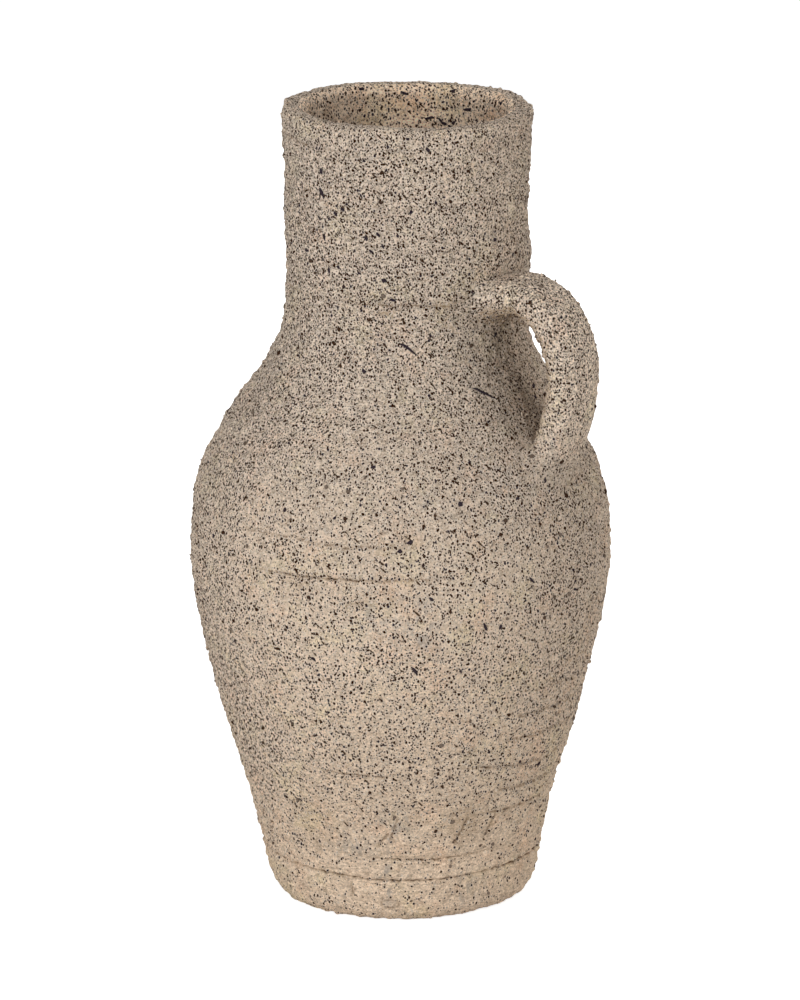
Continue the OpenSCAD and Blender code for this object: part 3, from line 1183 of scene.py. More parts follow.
@dataclass
class Workshop:
    """What every sub-assembly needs to build and dress its pieces."""

    form: VesselForm
    colouring: Colouring
    grit: Grit
    materials: list[bpy.types.Material]

    def place(self, mesh: ClayMesh, node: str) -> bpy.types.Object:
        """Makes a piece's object and lets it stand for its CAD node.

        Args:
            mesh: The finished piece.
            node: Name of the CAD node.

        Returns:
            The object.
        """
        piece = mesh.build(self.materials)
        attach(piece, BODY)
        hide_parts(node)
        log.info("%s: %d points", piece.name, len(piece.data.vertices))
        return piece


@dataclass
class WallSection:
    """One ring of wall between two seams, with its rebate and its tongue."""

    name: str
    node: str
    low: Crease
    high: Crease
    key: int
    around: int = 576
    lap_h: float = 8.0
    slip_gap: float = 0.05
    row: float = 1.25
    seam_row: float = 0.6
    seam_rows: int = 7
    inner_row: float = 5.0
    seam_clear: float = 1.5

    def shares(self, span: float) -> Array:
        """Shares of the height at which the rows lie, closer near the seams.

        Args:
            span: Height of the section in mm.

        Returns:
            Shares from 0 to 1.
        """
        seam = np.arange(self.seam_rows) * self.seam_row
        start = self.seam_rows * self.seam_row
        count = max(int((span - 2 * start) / self.row), 2)
        middle = np.linspace(start, span - start, count)
        return np.concatenate([seam, middle, span - seam[::-1]]) / span

    def path(self, form: VesselForm) -> Path2D:
        """Rows of the section.

        Args:
            form: Shape of the wall.

        Returns:
            The rows, up the outside and down the inside.
        """
        path = Path2D(self.around)
        bottom, top = self.low.height(path.bearing), self.high.height(path.bearing)
        span = float(np.mean(top - bottom))
        outline = form.outline
        shares = self.shares(span)
        for n, share in enumerate(shares):
            ends = n in (0, len(shares) - 1)
            path.add_outside(outline, bottom + (top - bottom) * share, ends)
        lap = outline.radius(top) - outline.wall / 2 + self.slip_gap
        path.add_joint(lap, top, top - self.lap_h)
        count = max(int(span / self.inner_row), 4)
        ends = (top - self.lap_h, bottom - self.lap_h)
        for n in range(count + 1):
            z = ends[0] + (ends[1] - ends[0]) * n / count
            path.add(outline.inside(z), z, (-1, 0), 1, 1, Finish.MOUTH, n in (0, count))
        path.add_joint(outline.radius(bottom) - outline.wall / 2, bottom - self.lap_h, bottom)
        return path

    def grains_between(self, form: VesselForm) -> Pair:
        """Lowest and highest place for a grain, in mm."""
        return self.low.track[0][1] + self.seam_clear, self.high.track[0][1] - self.seam_clear

    def holds(self, flake: Inclusion) -> bool:
        """Whether a large grain lies between the seams."""
        bearing = np.array([flake.bearing])
        return self.low.height(bearing)[0] < flake.z <= self.high.height(bearing)[0]

    def build(self, shop: Workshop) -> bpy.types.Object:
        """Builds the section and dresses it.

        Args:
            shop: Form, colouring, grit and materials.

        Returns:
            The object.
        """
        path = self.path(shop.form)
        points, pressed = path.stack(shop.form)
        mesh = ClayMesh(self.name)
        marks = shop.colouring.marks(points, pressed)
        mesh.add_grid(points, marks, np.array(path.finish), np.array(path.sharp), True)
        low, high = self.grains_between(shop.form)
        grains = shop.grit.on_wall(mesh, shop.colouring, low, high, self.key)
        for ends in SLIVERS:
            if low < ends[0][1] < high:
                shop.grit.sliver(mesh, shop.colouring, ends)
        for n, flake in enumerate(INCLUSIONS):
            if self.holds(flake):
                shop.grit.plate(mesh, flake, n)
        log.info("%s: %d grains", self.name, grains)
        return shop.place(mesh, self.node)


@dataclass
class FootBand(WallSection):
    """Ring that the vase stands on, with the ledge that carries the floor."""

    foot_round: float = 12.0
    flat_rim: float = 4.0
    round_rows: int = 17
    wall_rows: int = 21
    slab_r: float = 57.0
    ledge_w: float = 6.0
    ledge_h: float = 8.0
    base_t: float = 16.0

    def path(self, form: VesselForm) -> Path2D:
        """Rows of the foot band.

        Args:
            form: Shape of the wall.

        Returns:
            The rows, up the outside and down the inside.
        """
        path = Path2D(self.around)
        outline, top = form.outline, self.high.height(path.bearing)
        seat = self.slab_r + self.slip_gap
        path.add_joint(seat - self.ledge_w, 0)
        middle = outline.radius(np.array(self.foot_round)) - self.foot_round
        path.add(middle - self.flat_rim, 0, (0, 0), 0, 0, Finish.BARE)
        for n in range(self.round_rows + 1):
            turn = np.radians(-90 + 90 * n / self.round_rows)
            out = (np.cos(turn), np.sin(turn))
            path.add(middle + self.foot_round * out[0], self.foot_round * (1 + out[1]), out,
                     float(smooth(0, 3, np.array(n))), 0, Finish.OUTSIDE)
        start = self.foot_round + self.seam_row
        for share in np.linspace(0, 1, self.wall_rows):
            path.add_outside(outline, start + (top - start) * share, share == 1)
        lap = outline.radius(top) - outline.wall / 2 + self.slip_gap
        path.add_joint(lap, top, top - self.lap_h)
        for n in range(3):
            z = top - self.lap_h + (self.base_t - top + self.lap_h) * n / 2
            path.add(outline.inside(z), z, (-1, 0), 0, 1, Finish.MOUTH, n in (0, 2))
        path.add_joint(seat, self.base_t, self.ledge_h)
        path.add_joint(seat - self.ledge_w, self.ledge_h)
        return path

    def grains_between(self, form: VesselForm) -> Pair:
        """Lowest and highest place for a grain, in mm."""
        return self.foot_round, self.high.track[0][1] - self.seam_clear


@dataclass
class RimCoil(WallSection):
    """Coil that forms the lip."""

    outer_round: float = 4.0
    outer_rows: int = 13
    edge_rows: int = 8
    lip_rows: int = 10
    mouth_rows: int = 12

    def holds(self, flake: Inclusion) -> bool:
        """Whether a large grain lies above the seam."""
        return self.low.height(np.array([flake.bearing]))[0] < flake.z

    def path(self, form: VesselForm) -> Path2D:
        """Rows of the rim coil.

        Args:
            form: Shape of the wall.

        Returns:
            The rows, up the outside, over the lip and down the inside.
        """
        path = Path2D(self.around)
        outline, bottom = form.outline, self.low.height(path.bearing)
        height = outline.height
        shoulder = height - self.outer_round
        for n, share in enumerate(np.linspace(0, 1, self.outer_rows)):
            z = bottom + (shoulder - bottom) * share
            path.add(outline.radius(z), z, (1, 0), 1, 0, Finish.OUTSIDE, n == 0)
        for n in range(1, self.edge_rows + 1):
            turn = np.radians(90 * n / self.edge_rows)
            path.add(outline.rim_r + self.outer_round * (np.cos(turn) - 1),
                     shoulder + self.outer_round * np.sin(turn), (np.cos(turn), np.sin(turn)),
                     1, 0, Finish.OUTSIDE)
        inner_top = height - outline.lip_round
        mouth = float(outline.inside(np.array(inner_top - 1.0)))
        hub, flat = mouth + outline.lip_round, outline.rim_r - self.outer_round
        for n in range(1, 3):
            path.add(flat + (hub - flat) * n / 3, height, (0, 1), 1, 0.1 * n, Finish.OUTSIDE)
        for n in range(self.lip_rows + 1):
            turn = np.radians(90 + 90 * n / self.lip_rows)
            path.add(hub + outline.lip_round * np.cos(turn),
                     inner_top + outline.lip_round * np.sin(turn), (np.cos(turn), np.sin(turn)),
                     1, 0.3 + 0.07 * n, Finish.OUTSIDE if n < 2 else Finish.MOUTH)
        foot = bottom - self.lap_h
        for n in range(1, self.mouth_rows + 1):
            z = inner_top + (foot - inner_top) * n / self.mouth_rows
            path.add(outline.inside(np.minimum(z, inner_top - 1.0)), z, (-1, 0), 1, 1,
                     Finish.MOUTH, n == self.mouth_rows)
        path.add_joint(outline.radius(bottom) - outline.wall / 2, foot, bottom)
        return path

    def grains_between(self, form: VesselForm) -> Pair:
        """Lowest and highest place for a grain, in mm."""
        return self.low.track[0][1] + self.seam_clear, form.outline.height - self.outer_round


@dataclass
class BaseSlab:
    """Floor of the vase, a disc on the ledge of the foot band."""

    name: str = "base_slab_clay"
    node: str = "base_slab"
    around: int = 288
    slab_r: float = 57.0
    ledge_w: float = 6.0
    ledge_h: float = 8.0
    base_t: float = 16.0
    top_rows: int = 40
    swirl_pitch: float = 1.6
    swirl_rise: float = 0.35

    def build(self, shop: Workshop) -> bpy.types.Object:
        """Builds the floor and dresses it.

        Args:
            shop: Form, colouring, grit and materials.

        Returns:
            The object.
        """
        plug = self.slab_r - self.ledge_w
        rows = [(6.0, 0.0, False), (28.0, 0.0, False), (plug, 0.0, True),
                (plug, self.ledge_h, True), (self.slab_r, self.ledge_h, True),
                (self.slab_r, self.base_t, True)]
        edge = len(rows)
        across = np.linspace(self.slab_r - 1.5, 2.0, self.top_rows)
        rows += [(r, self.base_t, False) for r in across]
        r, z, sharp = (np.array(column) for column in zip(*rows))
        bearing = np.arange(self.around) * 2 * np.pi / self.around
        points = np.stack(
            [r[:, None] * np.cos(bearing), r[:, None] * np.sin(bearing),
             z[:, None] * np.ones(self.around)], -1
        )
        top = np.arange(len(rows)) >= edge
        swirl = np.sin(bearing[None, :] - r[:, None] / self.swirl_pitch)
        lumps = shop.form.noises[1].at(points, 16.0)
        points[top, :, 2] += (self.swirl_rise * swirl + self.swirl_rise * lumps - 0.5)[top]
        marks = shop.colouring.marks(points, np.zeros(points.shape[:2]))
        upper = np.arange(len(rows)) >= edge - 1
        finishes = np.where(upper, Finish.MOUTH.value, Finish.BARE.value)
        mesh = ClayMesh(self.name)
        mesh.add_capped(points, marks, finishes, sharp, (Finish.BARE, Finish.MOUTH))
        return shop.place(mesh, self.node)


@dataclass
class StrapHandle:
    """Pulled strap and the two roots that blend it into the neck and the shoulder."""

    form: VesselForm
    top_z: float = 349.0
    low_z: float = 263.0
    standoff: float = 42.5
    width: float = 37.0
    thickness: float = 20.0
    root_sink: float = 12.0
    squareness: float = 2.6
    root_flare: float = 0.32
    flare_length: float = 0.22
    start_share: float = 0.19
    end_share: float = 0.845
    around: int = 96
    strap_rows: int = 118
    root_rows: int = 30
    upper_spread: Triple = (7.0, 3.0, 8.0)
    lower_spread: Triple = (6.0, 7.0, 5.0)
    line_shares: tuple[Pair, ...] = (
        (0.35, 1.065), (0.80, 0.957), (1.0, 0.715), (0.74, 0.438), (0.18, 0.145)
    )
    line_step: float = 1e-3
    trace_rows: int = 300
    bend_rows: int = 24
    touch: float = 0.25
    sink: float = 2.2
    lump: Pair = (0.5, 26.0)
    small_lump: Pair = (0.28, 13.0)
    grit_gain: float = 1.5
    grain_gain: float = 1.6
    pepper_heights: Levels = (250, 300, 345, 362)
    pepper_levels: Levels = (0.95, 1.05, 1.4, 1.95)
    # Painted warm shade on the strap's face turned to the wall, by height, and on its underside
    inner_shade_heights: Levels = (265, 300, 330)
    inner_shade_levels: Levels = (0.2, 0.35, 0.6)
    under_shade: float = 0.7
    # Painted light on the strap where it stands clear of the wall
    fired: float = 0.46
    # Painted shade where the roots' undersides meet the wall
    root_shade: float = 0.9

    def line(self, u: Array) -> Array:
        """Points of the handle's line in its plane.

        Args:
            u: Shares of the line, from the upper root down.

        Returns:
            Distance from the axis and height of each point, in mm.
        """
        radius = self.form.outline.radius
        points = [(float(radius(self.top_z)) - self.root_sink, self.top_z)]
        for out, up in self.line_shares:
            z = self.low_z + up * (self.top_z - self.low_z)
            points.append((float(radius(z)) + out * self.standoff, z))
        points.append((float(radius(self.low_z)) - self.root_sink, self.low_z - self.root_sink))
        points = np.array(points)
        last = len(points) - 1
        pulls = np.array([
            (points[min(i + 1, last)] - points[max(i - 1, 0)]) / (min(i + 1, last) - max(i - 1, 0))
            for i in range(last + 1)
        ])
        i = np.clip((u * last).astype(int), 0, last - 1)
        t = (u * last - i)[:, None]
        return (
            points[i] * (1 + 2 * t) * (1 - t) ** 2 + points[i + 1] * t * t * (3 - 2 * t)
            + (pulls[i] * (1 - t) - pulls[i + 1] * t) * t * (1 - t)
        )

    def rings(self, u: Array) -> Array:
        """Sections of the handle.

        Args:
            u: Shares of the handle's line.

        Returns:
            Rings of points in mm.
        """
        ahead = self.line(np.minimum(u + self.line_step, 1.0))
        run = ahead - self.line(np.maximum(u - self.line_step, 0.0))
        run /= np.linalg.norm(run, axis=1, keepdims=True)
        across = np.stack([-run[:, 1], run[:, 0]], -1)
        near = np.maximum(0.0, 1.0 - np.minimum(u, 1.0 - u) / self.flare_length)
        flare = 1.0 + self.root_flare * near * near
        turn = np.linspace(0, 2 * np.pi, self.around, endpoint=False)
        power = 2.0 / self.squareness
        out = np.sign(np.cos(turn)) * np.abs(np.cos(turn)) ** power * self.thickness / 2
        side = np.sign(np.sin(turn)) * np.abs(np.sin(turn)) ** power * self.width / 2
        centre = self.line(u)
        flat = centre[:, None, :] + across[:, None, :] * (out[None, :] * flare[:, None])[..., None]
        return np.stack([flat[..., 0], side[None, :] * flare[:, None], flat[..., 1]], -1)

    def even_rings(self, u: Array) -> Array:
        """Sections of the handle, with their points evenly spaced along each.

        Args:
            u: Shares of the handle's line.

        Returns:
            Rings of points in mm.
        """
        rings = self.rings(u)
        middle = self.rings(np.array([0.5]))[0]
        closed = np.vstack([middle, middle[:1]])
        steps = np.concatenate([[0], np.cumsum(np.linalg.norm(np.diff(closed, axis=0), axis=1))])
        wanted = np.linspace(0, steps[-1], self.around, endpoint=False)
        place = np.interp(wanted, steps, np.arange(self.around + 1))
        low = place.astype(int) % self.around
        part = (place - place.astype(int))[None, :, None]
        return rings[:, low] * (1 - part) + rings[:, (low + 1) % self.around] * part

    def root(self, upper: bool) -> Array:
        """Rows of a root, from the strap to the wall.

        Args:
            upper: Whether it is the upper root.

        Returns:
            Rings of points in mm, the last ones just inside the wall.
        """
        start, end = (self.start_share, 0.0) if upper else (self.end_share, 1.0)
        spread = self.upper_spread if upper else self.lower_spread
        lines = self.even_rings(np.linspace(start, end, self.trace_rows))
        depth = np.hypot(lines[..., 0], lines[..., 1]) - self.form.outline.radius(lines[..., 2])
        entry = np.argmax(depth < 0, axis=0)
        columns = np.arange(self.around)
        hit = lines[entry, columns]
        across = np.arctan2(hit[:, 1], hit[:, 0]) * np.hypot(hit[:, 0], hit[:, 1])
        away = np.stack([across, hit[:, 2] - hit[:, 2].mean()], -1)
        away /= np.linalg.norm(away, axis=1, keepdims=True)
        aside, above, below = spread
        up_down = np.where(away[:, 1] > 0, above, below)
        reach = aside * away[:, 0] ** 2 + up_down * away[:, 1] ** 2
        z = hit[:, 2] + away[:, 1] * reach
        radius = self.form.outline.radius(z)
        bearing = np.degrees((across + away[:, 0] * reach) / radius)
        landed, _ = self.form.surface(bearing, z)
        facing = self.form.facing(bearing, z)
        rows = []
        for column in columns:
            line = lines[: entry[column] + 1, column]
            steps = np.linalg.norm(np.diff(line, axis=0), axis=1)
            left = steps[::-1].cumsum()[::-1]
            keep = int(np.sum(left > reach[column] * 1.1))
            begin, knee, goal = line[keep], hit[column], landed[column]
            t = np.linspace(0, 1, self.bend_rows)[:, None]
            bend = begin * (1 - t) ** 2 + knee * 2 * t * (1 - t) + goal * t * t
            whole = np.vstack([line[:keep], bend])
            steps = np.linalg.norm(np.diff(whole, axis=0), axis=1)
            length = np.concatenate([[0], np.cumsum(steps)])
            wanted = np.linspace(0, length[-1], self.root_rows)
            rows.append(np.stack([np.interp(wanted, length, whole[:, k]) for k in range(3)], -1))
        rings = np.array(rows).transpose(1, 0, 2)
        rings[-1] -= facing * self.touch
        sunk = rings[-1] - facing * self.sink
        return np.concatenate([rings, sunk[None]])

    def facing(self, rings: Array) -> Array:
        """Direction out of the handle.

        Args:
            rings: Rings of points in mm.

        Returns:
            Unit vectors, coordinates last.
        """
        along = np.gradient(rings, axis=0)
        around = np.roll(rings, -1, axis=1) - np.roll(rings, 1, axis=1)
        out = np.cross(along, around)
        return out / np.maximum(np.linalg.norm(out, axis=-1, keepdims=True), 1e-9)

    def relief(self, rings: Array) -> Array:
        """Puts lumps and grit on the handle.

        Args:
            rings: Rings of the clean handle, from the upper wall to the lower one.

        Returns:
            Rings of points in mm.
        """
        out = self.facing(rings)
        (lump, lump_size), (small, small_size) = self.lump, self.small_lump
        rise = lump * self.form.noises[0].at(rings, lump_size)
        rise = rise + small * self.form.noises[1].at(rings, small_size)
        rise = rise + self.grit_gain * self.form.grit(rings)
        row = np.arange(len(rings), dtype=float)
        weight = smooth(1.0, self.root_rows * 0.6, np.minimum(row, len(rings) - 1 - row))
        return rings + out * (rise * weight[:, None])[..., None]

    def build(self, shop: Workshop) -> list[bpy.types.Object]:
        """Builds the strap and its two roots and dresses them.

        Args:
            shop: Form, colouring, grit and materials.

        Returns:
            The three objects.
        """
        shares = np.linspace(self.start_share, self.end_share, self.strap_rows)
        strap = self.even_rings(shares)
        upper, lower = self.root(True), self.root(False)
        rings = self.relief(np.concatenate([upper[::-1], strap[1:-1], lower]))
        first, last = len(upper) - 1, len(rings) - len(lower)
        parts = (
            ("upper_root_clay", "upper_root", rings[: first + 1], 7),
            ("handle_strap_clay", "handle_strap", rings[first : last + 1], 8),
            ("lower_root_clay", "lower_root", rings[last:], 9),
        )
        return [self.part(shop, *part) for part in parts]

    def part(
        self, shop: Workshop, name: str, node: str, rings: Array, key: int
    ) -> bpy.types.Object:
        """Builds one piece of the handle.

        Args:
            shop: Form, colouring, grit and materials.
            name: Name of the piece.
            node: CAD node that it stands for.
            rings: Its rings of points in mm.
            key: Number of the piece's own draws.

        Returns:
            The object.
        """
        mesh = ClayMesh(name)
        rows = len(rings)
        marks = shop.colouring.marks(rings, np.zeros(rings.shape[:2]))
        out = self.facing(rings)
        height = rings[..., 2]
        marks[Mark.PEPPER] = np.interp(height, self.pepper_heights, self.pepper_levels)
        # Painted light: the strap is made lighter where it stands clear of the wall, so the roots
        # near the wall stay darker
        clear = np.hypot(rings[..., 0], rings[..., 1]) - shop.form.outline.radius(height)
        marks[Mark.TONE_AND_LIGHT] = marks[Mark.TONE_AND_LIGHT] + self.fired * smooth(2.0, 14.0, clear)
        # Painted warm shade on the strap's face turned to the wall, stronger higher up, and on its
        # underside near the top
        inward = smooth(-0.1, 0.6, -out[..., 0])
        inward = inward * np.interp(height, self.inner_shade_heights, self.inner_shade_levels)
        under = smooth(-0.1, 0.6, -out[..., 2]) * smooth(300, 330, height)
        marks[Mark.STAIN_AND_SHADE] = np.maximum(inward, self.under_shade * under)
        # Painted shade along the seam where a root's underside meets the wall
        if node != "handle_strap":
            seam = np.arange(rows)[:: 1 if node == "upper_root" else -1, None]
            root_shade = np.exp(-(((seam - 1.0) / 2.2) ** 2))
            root_shade = root_shade * smooth(0.1, 0.7, -out[..., 2] - out[..., 0])
            marks[Mark.CREASE_SHADE] = self.root_shade * root_shade
        sharp = np.zeros(rows, bool)
        sharp[1] = node == "upper_root"
        sharp[-2] = node == "lower_root"
        finishes = np.full(rows, Finish.OUTSIDE.value)
        turned = {m: v[:, ::-1] for m, v in marks.items()}
        mesh.add_capped(rings[:, ::-1], turned, finishes, sharp, (Finish.BARE, Finish.BARE))
        rng = np.random.default_rng(500 + key)
        low, high = (3, rows - 1) if node != "handle_strap" else (0, rows)
        if node == "lower_root":
            low, high = 0, rows - 3
        along = np.linalg.norm(np.gradient(rings, axis=0), axis=-1)
        cell = along * np.linalg.norm(np.roll(rings, -1, axis=1) - rings, axis=-1)
        count = int(cell[low:high].sum() / shop.grit.mm2_per_grain * self.grain_gain)
        j, k = rng.integers(low, high, count), rng.integers(0, self.around, count)
        spots_marks = {m: v[j, k] for m, v in marks.items()}
        shop.grit.scatter(mesh, rings[j, k], out[j, k], spots_marks, key)
        return shop.place(mesh, node)


# Materials

Tree = bpy.types.NodeTree
Socket = bpy.types.NodeSocket
Value = Socket | float | tuple[float, ...]
Setting = Value | str | Tree


@dataclass
class NodeGraph:
    """Small helper that adds shader nodes and links them."""

    tree: Tree

    def add(self, kind: str, **inputs: Setting) -> bpy.types.Node:
        """Adds a node.

        Args:
            kind: Type of the node.
            inputs: Its inputs by name, with _ for a space, and its settings, with set_ first.

        Returns:
            The node.
        """
        node = self.tree.nodes.new(kind)
        for name, value in inputs.items():
            if name.startswith("set_"):
                setattr(node, name[4:], value)
        for name, value in inputs.items():
            if not name.startswith("set_"):
                self.feed(node.inputs[name.replace("_", " ")], value)
        return node

    def feed(self, socket: Socket, value: Value) -> None:
        """Links a socket to another one, or sets it to a value."""
        if isinstance(value, Socket):
            self.tree.links.new(value, socket)
        else:
            socket.default_value = value

    def math(self, operation: str, a: Value, b: Value = 0.0, clamp: bool = False) -> Socket:
        """Works on two numbers.

        Args:
            operation: What is done with them.
            a: First number or socket.
            b: Second number or socket.
            clamp: Whether the result is kept from 0 to 1.

        Returns:
            The result's socket.
        """
        node = self.add("ShaderNodeMath", set_operation=operation, set_use_clamp=clamp)
        self.feed(node.inputs[0], a)
        self.feed(node.inputs[1], b)
        return node.outputs[0]

    def times(self, a: Value, b: Value) -> Socket:
        """Multiplies two numbers."""
        return self.math("MULTIPLY", a, b)

    def vectors(self, operation: str, a: Socket, b: Value) -> Socket:
        """Works on two vectors, or scales a vector by a number.

        Args:
            operation: What is done with them.
            a: First vector.
            b: Second vector, or the number for SCALE.

        Returns:
            The result's socket.
        """
        node = self.add("ShaderNodeVectorMath", set_operation=operation, Vector=a)
        self.feed(node.inputs["Scale"] if operation == "SCALE" else node.inputs[1], b)
        return node.outputs[0]

    def grey(self, level: Socket) -> Socket:
        """Makes a grey of a level."""
        node = self.add("ShaderNodeCombineColor", Red=level, Green=level, Blue=level)
        return node.outputs[0]

    def fit(
        self, value: Value, low: float, high: float, to_low: float = 0.0, to_high: float = 1.0,
        soft: bool = True,
    ) -> Socket:
        """Maps a number from one range to another.

        Args:
            value: Number or socket.
            low: Start of its range.
            high: End of its range.
            to_low: Start of the new range.
            to_high: End of the new range.
            soft: Whether the map eases in and out.

        Returns:
            The result's socket.
        """
        kind = "SMOOTHSTEP" if soft else "LINEAR"
        node = self.add("ShaderNodeMapRange", set_interpolation_type=kind, Value=value,
                        From_Min=low, From_Max=high, To_Min=to_low, To_Max=to_high)
        return node.outputs["Result"]

    def mix(self, share: Value, a: Value, b: Value, blend: str = "MIX") -> Socket:
        """Mixes two colours.

        Args:
            share: How much of the second one.
            a: First colour or socket.
            b: Second colour or socket.
            blend: How they are mixed.

        Returns:
            The colour's socket.
        """
        node = self.add("ShaderNodeMix", set_data_type="RGBA", set_blend_type=blend)
        self.feed(node.inputs[0], share)
        self.feed(node.inputs[6], a)
        self.feed(node.inputs[7], b)
        return node.outputs[2]

    def noise(
        self, vector: Socket, scale: float, detail: float = 2.0, rough: float = 0.5,
        output: str = "Fac",
    ) -> Socket:
        """Adds a noise texture.

        Args:
            vector: Coordinates.
            scale: Waves per unit of the coordinates.
            detail: Number of finer layers.
            rough: Strength of the finer layers.
            output: Name of the output.

        Returns:
            The output's socket.
        """
        node = self.add("ShaderNodeTexNoise", Vector=vector, Scale=scale, Detail=detail,
                        Roughness=rough)
        return node.outputs[output]

    def mapped(self, vector: Socket, **settings: Setting) -> Socket:
        """Turns or stretches coordinates by the settings of a mapping node."""
        return self.add("ShaderNodeMapping", Vector=vector, **settings).outputs[0]

    def end(self, kind: str, shader: bpy.types.Node) -> None:
        """Ends the tree in an output node of a kind, with a shader on its surface."""
        self.feed(self.add(kind).inputs["Surface"], shader.outputs[0])


def cleared(owner: bpy.types.Material | bpy.types.World) -> NodeGraph:
    """Turns on the nodes of a material or a world and clears them.

    Args:
        owner: The material or the world.

    Returns:
        Helper that fills its empty node tree.
    """
    owner.use_nodes = True
    owner.node_tree.nodes.clear()
    return NodeGraph(owner.node_tree)


@dataclass(frozen=True)
class Effect:
    """Shader node group with named inputs and outputs."""

    name: str
    inputs: tuple[tuple[str, str, float | tuple[float, ...] | None], ...]
    outputs: tuple[tuple[str, str], ...]

    def start(self) -> tuple[Tree, NodeGraph, dict[str, Socket], bpy.types.Node]:
        """Makes the empty group.

        Returns:
            The group, a helper that fills it, its inputs by name and its output node.
        """
        tree = bpy.data.node_groups.new(self.name, "ShaderNodeTree")
        for name, kind, value in self.inputs:
            made = tree.interface.new_socket(name, in_out="INPUT", socket_type=kind)
            if value is not None:
                made.default_value = value
        for name, kind in self.outputs:
            tree.interface.new_socket(name, in_out="OUTPUT", socket_type=kind)
        given = {socket.name: socket for socket in tree.nodes.new("NodeGroupInput").outputs}
        return tree, NodeGraph(tree), given, tree.nodes.new("NodeGroupOutput")


FLOAT, COLOUR, VECTOR = "NodeSocketFloat", "NodeSocketColor", "NodeSocketVector"


def speckle_group() -> Tree:
    """Grains of grog that the surface cuts through.

    Returns:
        Group that puts out a mask, a tone that differs from grain to grain, and a mask of
        the pale rim round each grain.
    """
    effect = Effect(
        "Grog speckles",
        (("Vector", VECTOR, None), ("Cell", FLOAT, 2.0), ("Size", FLOAT, 0.25),
         ("Share", FLOAT, 0.7), ("Ragged", FLOAT, 0.2), ("Softness", FLOAT, 0.08)),
        (("Mask", FLOAT), ("Tone", FLOAT), ("Rim", FLOAT)),
    )
    tree, graph, given, out = effect.start()
    feed, fit, math, times, vectors = graph.feed, graph.fit, graph.math, graph.times, graph.vectors
    millimetres = vectors("SCALE", given["Vector"], 1 / MM)
    cells = vectors("SCALE", millimetres, math("DIVIDE", 1.0, given["Cell"]))
    jitter = graph.noise(cells, 2.4, 1.0, 0.6, "Color")
    centred = vectors("SUBTRACT", jitter, (0.5, 0.5, 0.5))
    moved = vectors("SCALE", centred, given["Ragged"])
    place = vectors("ADD", cells, moved)
    voronoi = graph.add("ShaderNodeTexVoronoi", Vector=place, Scale=1.0)
    draws = graph.add("ShaderNodeSeparateColor", Color=voronoi.outputs["Color"])
    size_draw, share_draw, tone = draws.outputs
    size = times(given["Size"], fit(size_draw, 0, 1, 0.6, 1.0, False))
    inside = math("SUBTRACT", size, voronoi.outputs["Distance"])
    edge = math("DIVIDE", inside, given["Softness"])
    drawn = math("LESS_THAN", share_draw, given["Share"])
    mask = times(fit(edge, -1.0, 1.0), drawn)
    rim = times(fit(edge, -7.0, -2.0), drawn)
    feed(out.inputs["Mask"], mask)
    feed(out.inputs["Tone"], tone)
    feed(out.inputs["Rim"], math("SUBTRACT", rim, mask))
    return tree


def mottle_group() -> Tree:
    """Sandy grain of the clay, its warm and cool clouds, and painted shade along its fine folds.

    Returns:
        Group that puts out a colour, and a height for the bumps.
    """
    effect = Effect(
        "Sandy mottle",
        (("Vector", VECTOR, None), ("Base", COLOUR, (0.5, 0.4, 0.3, 1)),
         ("Warm", COLOUR, (0.5, 0.3, 0.2, 1)), ("Cool", COLOUR, (0.4, 0.4, 0.4, 1)),
         ("Pale", COLOUR, (0.7, 0.65, 0.6, 1)), ("Straw", COLOUR, (0.5, 0.45, 0.3, 1)),
         ("Clouds", FLOAT, 0.3), ("Sand", FLOAT, 0.3), ("Skin", FLOAT, 0.0)),
        (("Color", COLOUR), ("Height", FLOAT)),
    )
    tree, graph, given, out = effect.start()
    fit, math, mix, noise, times = graph.fit, graph.math, graph.mix, graph.noise, graph.times
    vector = given["Vector"]
    warm = fit(noise(vector, 58.0, 3.0, 0.6), 0.5, 0.72)
    shifted = graph.vectors("ADD", vector, (0.31, 0.17, 0.23))
    cool = fit(noise(shifted, 72.0, 3.0, 0.6), 0.54, 0.74)
    straw = fit(noise(shifted, 41.0, 3.0, 0.6), 0.48, 0.3)
    colour = given["Base"]
    for share, tint in ((warm, "Warm"), (cool, "Cool"), (straw, "Straw")):
        colour = mix(times(share, given["Clouds"]), colour, given[tint])
    # Fine folds in the clay near the foot, sunk in the bump and darkened as painted shade
    flat = graph.mapped(vector, Rotation=(0.06, -0.08, 0.0), Scale=(1.0, 1.0, 5.0))
    folds = math("ABSOLUTE", math("SUBTRACT", noise(flat, 95.0, 4.0, 0.62), 0.5))
    fold_shade = times(fit(folds, 0.0, 0.022, 1.0, 0.0), given["Skin"])
    sand = noise(vector, 900.0, 2.0, 0.7)
    broad = noise(vector, 170.0, 2.0, 0.6)
    grains = graph.add("ShaderNodeTexVoronoi", Vector=vector, Scale=1150.0)
    draw = graph.add("ShaderNodeSeparateColor", Color=grains.outputs["Color"]).outputs[0]
    uneven = math("ADD", sand, times(broad, 0.6))
    uneven = math("ADD", uneven, times(draw, 0.6))
    swing = times(math("SUBTRACT", uneven, 1.1), given["Sand"])
    level = fit(math("ADD", swing, 1.0), 0.35, 1.65, 0.35, 1.65, False)
    colour = mix(1.0, colour, graph.grey(level), "MULTIPLY")
    colour = mix(fit(level, 1.1, 1.7, 0.0, 0.65), colour, given["Pale"])
    dim = times(fold_shade, 0.3)
    graph.feed(out.inputs["Color"], mix(dim, colour, (0.12, 0.08, 0.05, 1.0)))
    grainy = times(sand, times(given["Sand"], 0.75))
    graph.feed(out.inputs["Height"], math("SUBTRACT", grainy, dim))
    return tree


Colour = tuple[float, float, float, float]


